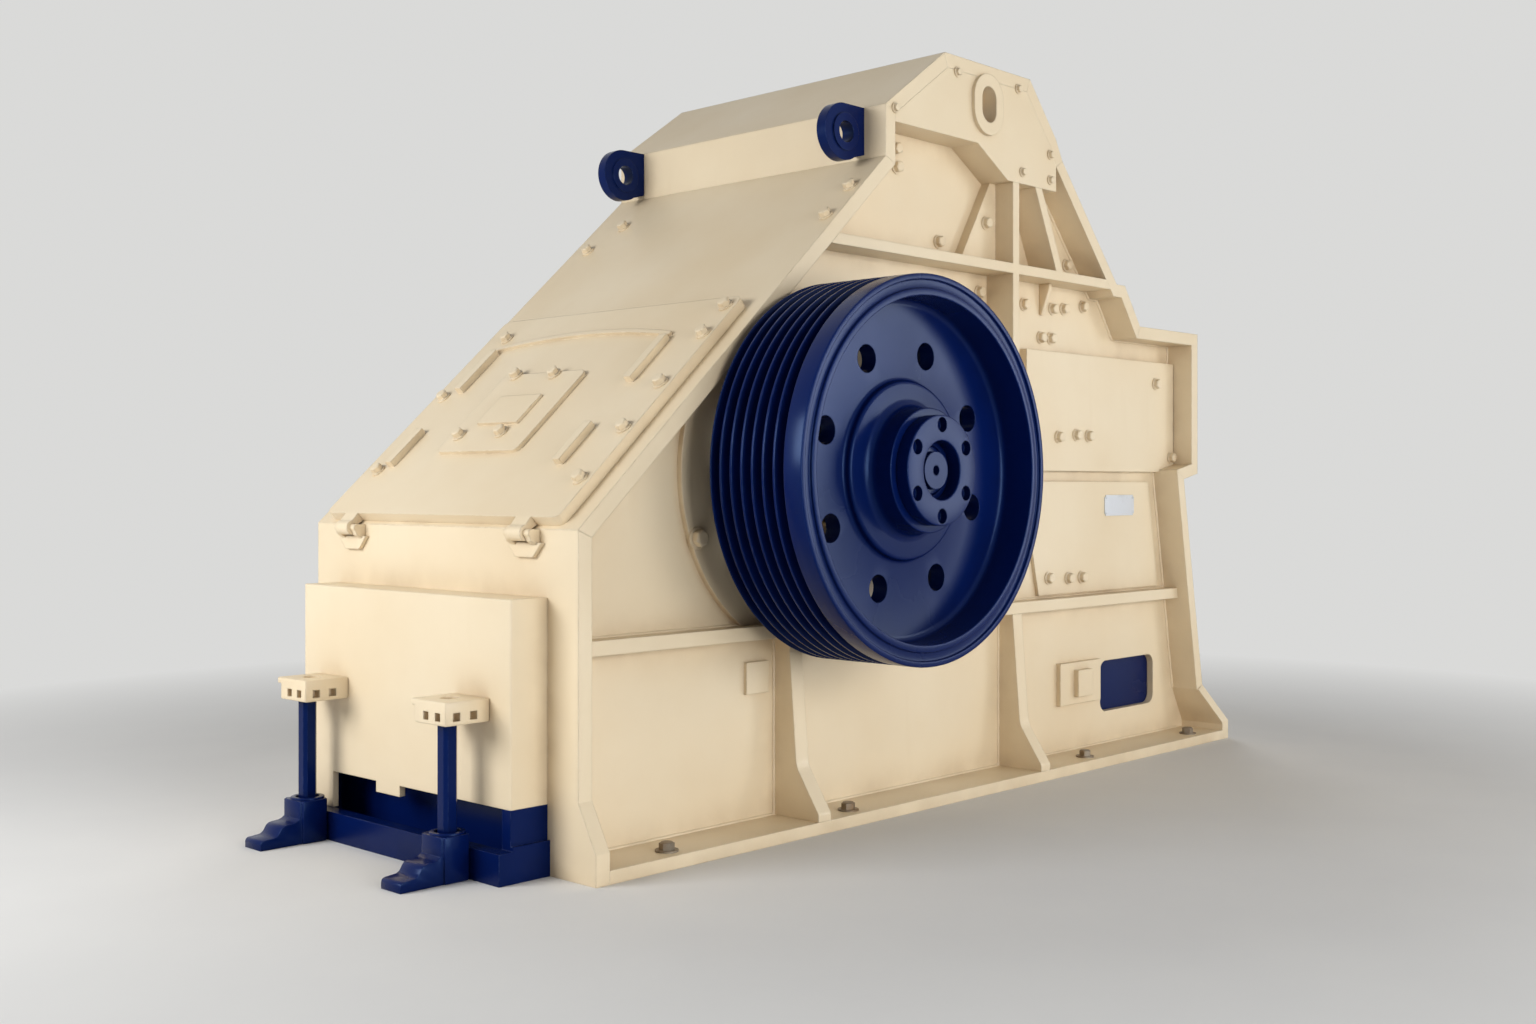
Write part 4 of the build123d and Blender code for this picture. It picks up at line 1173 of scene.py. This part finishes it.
@dataclass
class DrivePulley:
    """The grooved drive pulley with web, hub and clamp collar."""

    axis_x: float = -0.797
    axis_z: float = 1.184
    radius: float = 0.625
    rim_inner: float = 0.555
    back: float = -0.734
    front: float = -1.112
    web_face: float = -0.987
    web_back: float = -0.929
    ring_radius: float = 0.290
    ring_rise: float = 0.026
    hub: float = 0.200
    hub_front: float = -1.100
    hub_back: float = -0.770
    bore: float = 0.080
    grooves: int = 7
    pitch: float = 0.0445
    groove_top: float = 0.037
    groove_depth: float = 0.034
    groove_root: float = 0.018
    groove_edge: float = 0.0012
    edge: float = 0.004
    hub_fillet: float = 0.032
    ring_fillet: float = 0.012
    web_fillet: float = 0.022
    step_edge: float = 0.019
    step_width: float = 0.028
    step_depth: float = 0.009
    web_holes: HoleCircle = HoleCircle(0.395, 8, turn=27.0, radius=0.045, length=0.14, sides=32)
    wheel_sides: int = 144
    collar_radius: float = 0.176
    collar_bore: float = 0.094
    collar_thick: float = 0.048
    collar_holes: HoleCircle = HoleCircle(0.145, 6, turn=90.0, radius=0.024, length=0.05, sides=28)
    collar_sides: int = 96
    smooth_angle: float = 38.0

    def section(self) -> list[Flat]:
        """Gives the pulley's section with rounded corners.

        Returns:
            Radius and Y points round the section.
        """
        step_out = self.radius - self.step_edge
        step_in = step_out - self.step_width
        step_face = self.front + self.step_depth
        ring_face = self.web_face - self.ring_rise
        corners: list[Point] = [
            (self.bore, self.hub_front, self.edge),
            (self.hub, self.hub_front, self.edge),
            (self.hub, ring_face, self.hub_fillet),
            (self.ring_radius, ring_face, self.ring_fillet),
            (self.ring_radius, self.web_face, self.ring_fillet),
            (self.rim_inner, self.web_face, self.web_fillet),
            (self.rim_inner, self.front, self.edge),
            (step_in, self.front, self.edge),
            (step_in, step_face, self.edge),
            (step_out, step_face, self.edge),
            (step_out, self.front, self.edge),
            (self.radius, self.front, self.edge),
        ]
        root = self.radius - self.groove_depth
        for index in reversed(range(self.grooves)):
            centre = self.back - self.pitch * (index + 0.5)
            corners += [
                (self.radius, centre - self.groove_top / 2, self.groove_edge),
                (root, centre - self.groove_root / 2, self.groove_edge),
                (root, centre + self.groove_root / 2, self.groove_edge),
                (self.radius, centre + self.groove_top / 2, self.groove_edge),
            ]
        corners += [
            (self.radius, self.back, self.edge),
            (self.rim_inner, self.back, self.edge),
            (self.rim_inner, self.web_back, self.web_fillet),
            (self.hub, self.web_back, self.hub_fillet),
            (self.hub, self.hub_back, self.edge),
            (self.bore, self.hub_back, self.edge),
        ]
        return softened(corners)

    def collar_section(self) -> list[Flat]:
        """Gives the clamp collar's section with rounded corners.

        Returns:
            Radius and Y points round the section.
        """
        face = self.hub_front - self.collar_thick
        corners: list[Point] = [
            (self.collar_bore, self.hub_front, self.edge),
            (self.collar_radius, self.hub_front, self.edge),
            (self.collar_radius, face, self.edge),
            (self.collar_bore, face, self.edge),
        ]
        return softened(corners)

    def turned(
        self,
        name: str,
        section: list[Flat],
        sides: int,
        holes: HoleCircle,
        level: float,
        finishes: Finishes,
    ) -> bpy.types.Object:
        """Makes a turned and drilled piece.

        Args:
            name: The piece's name.
            section: Radius and Y points round its section.
            sides: How many sections make the full turn.
            holes: Its holes.
            level: The Y of the drills' middles.
            finishes: All materials.

        Returns:
            The piece.
        """
        raw = linked(name + ".raw", lathe(section, self.axis_x, self.axis_z, sides))
        cut(raw, holes.drills(Vector((self.axis_x, level, self.axis_z))))
        return settle(applied(raw), name, Body.ROTOR, finishes.blue, self.smooth_angle)

    def build(self, finishes: Finishes) -> None:
        """Makes the wheel and its clamp collar.

        Args:
            finishes: All materials.
        """
        middle = (self.web_face + self.web_back) / 2
        wheel = self.turned(
            "drive_pulley", self.section(), self.wheel_sides, self.web_holes, middle, finishes
        )
        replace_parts(wheel, "pulley", "pulley_web")
        face = self.hub_front - self.collar_thick
        collar = self.turned(
            "clamp_collar", self.collar_section(), self.collar_sides, self.collar_holes, face, finishes
        )
        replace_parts(collar, "clamp_ring")


@dataclass
class SpindleHead:
    """A head block before the hood, with its turning-bar holes.

    Args:
        side: The head's side.
    """

    side: Side
    hole_width: float = 0.025
    hole_height: float = 0.024
    hole_parts: Flat = (0.25, 0.63)
    depth: float = 0.03
    recess: float = 0.028
    recess_sides: int = 32
    cap: float = 0.02
    lap: float = 0.02
    front_inset: float = 0.006
    bevel: float = 0.005

    def build(self, finishes: Finishes) -> None:
        """Makes the head from one section and cuts its holes.

        Args:
            finishes: All materials.
        """
        node = self.side.value + "_spindle_head"
        low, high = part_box(node)
        front = low.x + self.front_inset
        cap_z = high.z - self.cap
        ear = high.y - self.lap
        section = [
            (low.y, low.z),
            (ear, low.z),
            (ear, cap_z),
            (high.y, cap_z),
            (high.y, high.z),
            (low.y, high.z),
        ]
        raw = linked(node + ".raw", bar(section, front, high.x))
        rounded(raw, self.bevel)
        half = self.hole_width / 2
        middle = (low.z + cap_z) / 2
        z0 = middle - self.hole_height / 2
        z1 = middle + self.hole_height / 2
        crown = Vector(((low.x + high.x) / 2, (low.y + high.y) / 2, high.z))
        holes = [drum(crown, UP, self.recess, self.depth, self.recess_sides)]
        for part in self.hole_parts:
            x = front + (high.x - front) * part
            y = low.y + (ear - low.y) * part
            holes.append(slab((low.x, y - half, z0), (front + self.depth, y + half, z1)))
            holes.append(slab((x - half, low.y - self.depth, z0), (x + half, low.y + self.depth, z1)))
        cut(raw, holes)
        name = self.side.value + "_drilled_head"
        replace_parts(settle(applied(raw), name, Body.HOUSING, finishes.cream), node)


@dataclass
class SpindleFoot:
    """A spindle's foot: a casting with a stepped toe, and the rim of the spindle's socket.

    Args:
        side: The foot's side.
    """

    side: Side
    bevel: float = 0.005
    bevel_limit: float = 50.0
    rim: float = 0.053
    rim_height: float = 0.006
    rim_sides: int = 40
    socket: float = 0.038
    tower_depth: float = 0.099
    tower_round: float = 0.008
    toe_run: float = 0.072
    toe_inset: float = 0.009
    toe_height: float = 0.066
    tip_height: float = 0.03
    toe_rise: float = 0.005
    toe_slant: float = 0.012
    toe_heel: float = 0.018
    toe_round: float = 0.014
    toe_corner: float = 0.001

    def build(self, finishes: Finishes) -> None:
        """Makes the rim and the casting.

        Args:
            finishes: All materials.
        """
        node = self.side.value + "_spindle_block"
        low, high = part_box(node)
        self.collar(high.z, finishes)
        tower = high.x - self.tower_depth
        shape = slab((tower, low.y, low.z), high)
        round_corners(shape, UP, self.tower_round)
        raw = linked(node + ".raw", shape)
        toe = linked(node + ".toe", self.toe(low, high, tower))
        for item in (raw, toe):
            rounded(item, self.bevel, self.bevel_limit)
        combine(raw, toe, Solid.JOIN)
        name = self.side.value + "_foot_casting"
        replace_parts(settle(applied(raw), name, Body.HOUSING, finishes.blue), node)

    def collar(self, top: float, finishes: Finishes) -> None:
        """Makes the rim of the socket where the spindle enters the foot.

        Args:
            top: The Z of the foot's top.
            finishes: All materials.
        """
        low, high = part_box(self.side.value + "_spindle")
        centre = Vector(((low.x + high.x) / 2, (low.y + high.y) / 2, top))
        name = self.side.value + "_socket_rim"
        raw = linked(name + ".raw", drum(centre, UP, self.rim, self.rim_height * 2, self.rim_sides))
        rounded(raw, self.bevel / 2)
        cut(raw, [drum(centre, UP, self.socket, self.rim_height * 3, self.rim_sides)])
        settle(applied(raw), name, Body.HOUSING, finishes.blue)

    def toe(self, low: Vector, high: Vector, tower: float) -> bmesh.types.BMesh:
        """Makes the toe that reaches forward from the tower in two soft steps.

        Args:
            low: The foot's lowest corner.
            high: The foot's highest corner.
            tower: The X of the tower's front.

        Returns:
            The toe as a closed shape.
        """
        shoulder = tower - self.toe_run
        heel = tower + self.tower_depth / 2
        heel_top = self.toe_height + self.toe_heel
        profile = [
            (low.x, low.z, self.toe_corner),
            (low.x, self.tip_height, self.toe_round),
            (shoulder - self.toe_rise, self.tip_height + self.toe_rise, self.toe_round),
            (shoulder + self.toe_slant, self.toe_height, self.toe_round),
            (tower - self.toe_slant, self.toe_height + self.toe_rise, self.toe_round),
            (tower + self.toe_rise, heel_top, self.toe_corner),
            (heel, heel_top, self.toe_corner),
            (heel, low.z, self.toe_corner),
        ]
        shape = bar(softened(profile), low.y + self.toe_inset, high.y - self.toe_inset)
        for vertex in shape.verts:
            along, across, up = vertex.co
            vertex.co = (across, along, up)
        return shape


def mirrored(flats: tuple[Flat, ...], depth: float) -> list[Place]:
    """Sets points on both side faces.

    Args:
        flats: X and Z of the bolts.
        depth: Distance of the face from the middle plane.

    Returns:
        Feet and directions on both sides.
    """
    return [
        (Vector((x, side.sign * depth, z)), ACROSS * side.sign) for side in Side for x, z in flats
    ]


@dataclass
class Fasteners:
    """All bolts of the housing, the hatch and the base."""

    outline: SideOutline = field(default_factory=SideOutline)
    hatch_edge: tuple[Flat, ...] = (
        (0.178, -0.575),
        (0.407, -0.578),
        (0.618, -0.575),
        (0.861, -0.580),
        (1.005, -0.575),
        (0.222, 0.535),
        (0.612, 0.560),
        (0.938, 0.505),
    )
    hatch_face: float = 0.036
    lid: tuple[Flat, ...] = ((0.379, 0.215), (0.388, -0.005), (0.693, 0.205), (0.684, -0.010))
    lid_face: float = 0.050
    slope: tuple[Flat, ...] = ((1.681, 0.508), (1.708, -0.640), (1.539, -0.640), (1.539, 0.60))
    wall: tuple[Flat, ...] = (
        (-0.316, 2.358),
        (-0.310, 2.292),
        (-0.062, 2.048),
        (0.195, 1.882),
        (0.498, 1.860),
        (0.617, 1.735),
        (0.690, 1.737),
        (0.703, 1.858),
        (0.785, 1.864),
        (0.930, 1.885),
        (0.805, 2.046),
    )
    box: tuple[Flat, ...] = (
        (0.697, 1.334),
        (0.830, 1.345),
        (0.922, 1.343),
        (1.600, 1.262),
        (1.469, 1.585),
    )
    box_rise: float = 0.034
    panel: tuple[Flat, ...] = ((0.651, 0.761), (0.798, 0.755), (0.897, 0.755))
    panel_rise: float = 0.016
    doubler: tuple[Flat, ...] = ((0.185, 2.142),)
    doubler_rise: float = 0.040
    cheek: tuple[Flat, ...] = (
        (-0.47, 2.46),
        (-0.108, 2.653),
        (0.28, 2.66),
        (0.50, 2.44),
        (0.50, 2.34),
        (0.309, 2.345),
    )
    cover: tuple[Flat, ...] = ((-1.334, 0.970),)
    cover_rise: float = 0.020
    anchor_x: tuple[float, ...] = (-1.573, -0.736, 0.736, 1.573)
    anchor_y: float = 0.705

    def build(self, tree: bpy.types.NodeTree, finishes: Finishes) -> None:
        """Sets every row of bolts.

        Args:
            tree: The bolt tree.
            finishes: All materials.
        """
        for row in self.rows():
            row.build(tree, finishes.cream)
        self.anchors().build(tree, finishes.anchor)

    def rows(self) -> list[BoltRow]:
        """Lists the painted bolts.

        Returns:
            One row for each body and size.
        """
        front = FrontSlope(self.outline)
        hatch = front.places(self.hatch_edge, self.hatch_face) + front.places(self.lid, self.lid_face)
        wall = self.outline.wall_y
        doubler = mirrored(self.doubler, wall + self.doubler_rise)
        cheek = mirrored(self.cheek, self.outline.rim_y)
        cover = mirrored(self.cover, wall + self.cover_rise)
        return [
            BoltRow("hatch_bolts", Body.HATCH, hatch),
            BoltRow("slope_bolts", Body.HOUSING, front.places(self.slope, 0.0)),
            BoltRow("wall_bolts", Body.HOUSING, mirrored(self.wall, wall)),
            BoltRow("box_bolts", Body.HOUSING, mirrored(self.box, wall + self.box_rise)),
            BoltRow("side_bolts", Body.HOUSING, mirrored(self.panel, wall + self.panel_rise)),
            BoltRow("doubler_bolts", Body.HOUSING, doubler),
            BoltRow("cheek_bolts", Body.HOUSING, cheek, CHEEK_BOLT),
            BoltRow("cover_bolts", Body.HOUSING, cover, COVER_BOLT),
        ]

    def anchors(self) -> BoltRow:
        """Lists the foundation bolts that stand in the base slots.

        Returns:
            The row of anchors.
        """
        places = [
            (Vector((x, y, BASE_TOP)), UP) for x in self.anchor_x for y in (-self.anchor_y, self.anchor_y)
        ]
        return BoltRow("anchor_bolts", Body.HOUSING, places, ANCHOR_BOLT, Slot.DARK)


@dataclass
class WeldSeams:
    """Weld beads where ribs, rims and base meet the side walls."""

    bead: float = 0.008
    step: float = 0.012
    ripple: float = 0.22
    base_end: float = 0.06
    rim_corners: tuple[int, int] = (1, 15)
    smooth_angle: float = 60.0
    outline: SideOutline = field(default_factory=SideOutline)

    def lines(self, wall: float) -> list[list[Vector]]:
        """Lists the seams of one side.

        Args:
            wall: The Y of the side's wall.

        Returns:
            One chain of points for each seam.
        """
        inner = self.outline.inset(self.outline.plate)[slice(*self.rim_corners)]
        seams = [[Vector((x, wall, z)) for x, z in inner]]
        rib_low, rib_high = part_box("near_lower_rib")
        for z in (rib_low.z, rib_high.z):
            seams.append([Vector((rib_low.x, wall, z)), Vector((rib_high.x, wall, z))])
        for node in ("near_front_gusset", "near_rear_gusset"):
            low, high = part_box(node)
            for x in (low.x, high.x):
                seams.append([Vector((x, wall, BASE_TOP)), Vector((x, wall, rib_low.z))])
        low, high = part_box("near_base")
        ends = (low.x + self.base_end, high.x - self.base_end)
        seams.append([Vector((x, wall, BASE_TOP)) for x in ends])
        return seams

    def build(self, tree: bpy.types.NodeTree, finishes: Finishes) -> None:
        """Lays the beads on both sides.

        Args:
            tree: The bead tree.
            finishes: All materials.
        """
        name = "weld_seams"
        points: list[Vector] = []
        edges: list[tuple[int, int]] = []
        for side in Side:
            for line in self.lines(side.sign * self.outline.wall_y):
                first = len(points)
                points += line
                edges += [(first + i, first + i + 1) for i in range(len(line) - 1)]
        carrier = bpy.data.meshes.new(name)
        carrier.from_pydata(points, edges, [])
        values = {
            "Bead Radius": self.bead,
            "Step": self.step,
            "Ripple": self.ripple,
            "Finish": finishes.cream,
        }
        mesh = from_tree(name, carrier, tree, values)
        settle(mesh, name, Body.HOUSING, finishes.cream, self.smooth_angle)


@dataclass
class RibBrackets:
    """The small tapered bracket below the upper rib of each wall."""

    place: float = 0.619
    thick: float = 0.02
    top: float = 1.95
    foot: float = 1.825
    shoulder: float = 0.022
    reach: float = 0.05
    foot_reach: float = 0.012
    bevel: float = 0.003
    outline: SideOutline = field(default_factory=SideOutline)

    def build(self, finishes: Finishes) -> None:
        """Makes the brackets of both walls.

        Args:
            finishes: All materials.
        """
        start = self.place - self.thick / 2
        profile = [
            (0.0, self.top),
            (self.reach, self.top),
            (self.reach, self.top - self.shoulder),
            (self.foot_reach, self.foot),
            (0.0, self.foot),
        ]
        for side in Side:
            section = [(side.sign * (self.outline.wall_y + out), z) for out, z in profile]
            name = side.value + "_rib_bracket"
            raw = linked(name + ".raw", bar(section, start, start + self.thick))
            rounded(raw, self.bevel)
            settle(applied(raw), name, Body.HOUSING, finishes.cream)


@dataclass
class Nameplate:
    """The bare plate on the side panel, held by four rivets."""

    low: Flat = (1.078, 1.008)
    high: Flat = (1.315, 1.096)
    face: float = -0.585
    thick: float = 0.003
    corner: float = 0.008
    rivet: float = 0.005
    rivet_inset: float = 0.012
    rivet_flatness: float = 0.5
    rivet_sides: int = 12
    rivet_rings: int = 8

    def build(self, finishes: Finishes) -> None:
        """Makes the plate and its rivets as one piece.

        Args:
            finishes: All materials.
        """
        front = self.face - self.thick
        shape = slab((self.low[0], front, self.low[1]), (self.high[0], self.face, self.high[1]))
        round_corners(shape, ACROSS, self.corner)
        flatten = Matrix.Diagonal((1.0, self.rivet_flatness, 1.0, 1.0))
        for x in (self.low[0] + self.rivet_inset, self.high[0] - self.rivet_inset):
            for z in (self.low[1] + self.rivet_inset, self.high[1] - self.rivet_inset):
                place = Matrix.Translation((x, front, z)) @ flatten
                bmesh.ops.create_uvsphere(
                    shape,
                    u_segments=self.rivet_sides,
                    v_segments=self.rivet_rings,
                    radius=self.rivet,
                    matrix=place,
                )
        raw = linked("nameplate.raw", shape)
        settle(applied(raw), "nameplate", Body.HOUSING, finishes.plate)


def dress_nodes(finishes: Finishes) -> None:
    """Sets the material of each carried-over node from the record's slots.

    Args:
        finishes: All materials.
    """
    for subpart in frame["record"]["subparts"]:
        mesh = frame["nodes"][subpart["node"]].data
        mesh.materials.clear()
        mesh.materials.append(finishes.of_slot(Slot(subpart["material_slot"])))


@dataclass(frozen=True)
class Lamp:
    """A soft area lamp.

    Args:
        name: The lamp's name.
        place: Where it hangs.
        aim: The point it looks at.
        width: Its width.
        height: Its height.
        power: Its power in watts.
    """

    name: str
    place: Point
    aim: Point
    width: float
    height: float
    power: float

    def build(self) -> None:
        """Hangs the lamp."""
        data = bpy.data.lights.new(self.name, "AREA")
        data.shape = "RECTANGLE"
        data.size = self.width
        data.size_y = self.height
        data.energy = self.power
        item = placed(self.name, data)
        item.location = self.place
        way = Vector(self.aim) - Vector(self.place)
        item.rotation_euler = way.to_track_quat("-Z", "Y").to_euler()


@dataclass
class Studio:
    """Pale floor, soft lamps, plain world and the camera."""

    lens: float = 37.66
    sensor: float = 36.0
    eye: Point = (-4.869, -4.234, 1.1345)
    pitch: float = 90.0
    yaw: float = -46.65
    shift_y: float = -0.0169
    floor_half: float = 40.0
    floor_light: Point = (0.77, 0.77, 0.76)
    floor_dark: Point = (0.74, 0.74, 0.735)
    floor_rough: float = 0.75
    floor_specular: float = 0.2
    backdrop: Point = (0.7, 0.7, 0.69)
    fade_start: float = 2.5
    fade_end: float = 5.2
    sky: Point = (1.0, 0.985, 0.96)
    sky_strength: float = 0.18
    lamps: tuple[Lamp, ...] = (
        Lamp("front_lamp", (-5.8, 1.2, 2.5), (-1.7, 0.0, 0.9), 2.6, 2.0, 180.0),
        Lamp("side_lamp", (-1.6, -8.5, 1.9), (-0.3, 0.0, 1.0), 5.5, 3.0, 380.0),
        Lamp("top_lamp", (0.5, 1.0, 8.0), (0.0, 0.0, 1.0), 6.0, 5.0, 8.0),
        Lamp("back_lamp", (7.0, 6.0, 4.0), (0.0, 0.0, 1.4), 4.0, 4.0, 250.0),
        Lamp("sheen_lamp", (5.2, -6.2, 1.7), (-0.8, -1.1, 1.2), 2.2, 2.4, 95.0),
    )

    def build(self) -> None:
        """Builds the whole studio."""
        self.floor()
        self.world()
        for lamp in self.lamps:
            lamp.build()
        self.camera()
        bpy.context.scene.view_settings.view_transform = "Standard"

    def floor(self) -> None:
        """Lays the floor, which fades into the backdrop away from the machine."""
        half = self.floor_half
        mesh = bpy.data.meshes.new("floor")
        corners = [(-half, -half, 0.0), (half, -half, 0.0), (half, half, 0.0), (-half, half, 0.0)]
        mesh.from_pydata(corners, [], [(0, 1, 2, 3)])
        graph = Surface("pale_floor")
        shader = graph.shader
        mottle = graph.pattern(graph.place, MOTTLE)
        graph.join(graph.mix(mottle, self.floor_light, self.floor_dark), shader.inputs["Base Color"])
        shader.inputs["Roughness"].default_value = self.floor_rough
        shader.inputs["Specular IOR Level"].default_value = self.floor_specular
        glow = graph.add("ShaderNodeEmission")
        glow.inputs["Color"].default_value = (*self.backdrop, 1.0)
        distance = graph.add("ShaderNodeVectorMath", operation="LENGTH")
        graph.join(graph.place, distance.inputs[0])
        fade = graph.ramp(distance.outputs["Value"], self.fade_start, self.fade_end)
        factor = graph.math("MULTIPLY", fade, graph.in_sight())
        graph.join(graph.choose(factor, shader, glow), graph.out)
        mesh.materials.append(graph.material)
        placed("floor", mesh)

    def world(self) -> None:
        """Sets an even world that looks pale in view and in reflections."""
        world = bpy.data.worlds.new("studio_world")
        bpy.context.scene.world = world
        world.use_nodes = True
        graph = NodeGraph(world.node_tree)
        out = graph.add("ShaderNodeOutputWorld")
        light = graph.add("ShaderNodeBackground")
        light.inputs["Color"].default_value = (*self.sky, 1.0)
        light.inputs["Strength"].default_value = self.sky_strength
        back = graph.add("ShaderNodeBackground")
        back.inputs["Color"].default_value = (*self.backdrop, 1.0)
        graph.join(graph.choose(graph.in_sight(), light, back), out.inputs["Surface"])

    def camera(self) -> None:
        """Sets the camera at the photograph's viewing angle."""
        data = bpy.data.cameras.new("camera")
        data.lens = self.lens
        data.sensor_width = self.sensor
        data.shift_y = self.shift_y
        item = placed("camera", data)
        item.location = self.eye
        item.rotation_euler = (math.radians(self.pitch), 0.0, math.radians(self.yaw))
        bpy.context.scene.camera = item


def main() -> None:
    """Builds the dressed crusher and its studio."""
    logging.basicConfig(level=logging.INFO)
    Studio().build()
    finishes = Finishes()
    dress_nodes(finishes)
    DrivePulley().build(finishes)
    for side in Side:
        SpindleHead(side).build(finishes)
        SpindleFoot(side).build(finishes)
    Fasteners().build(BoltTree().tree, finishes)
    WeldSeams().build(SeamTree().tree, finishes)
    RibBrackets().build(finishes)
    Nameplate().build(finishes)


if __name__ == "__main__":
    main()
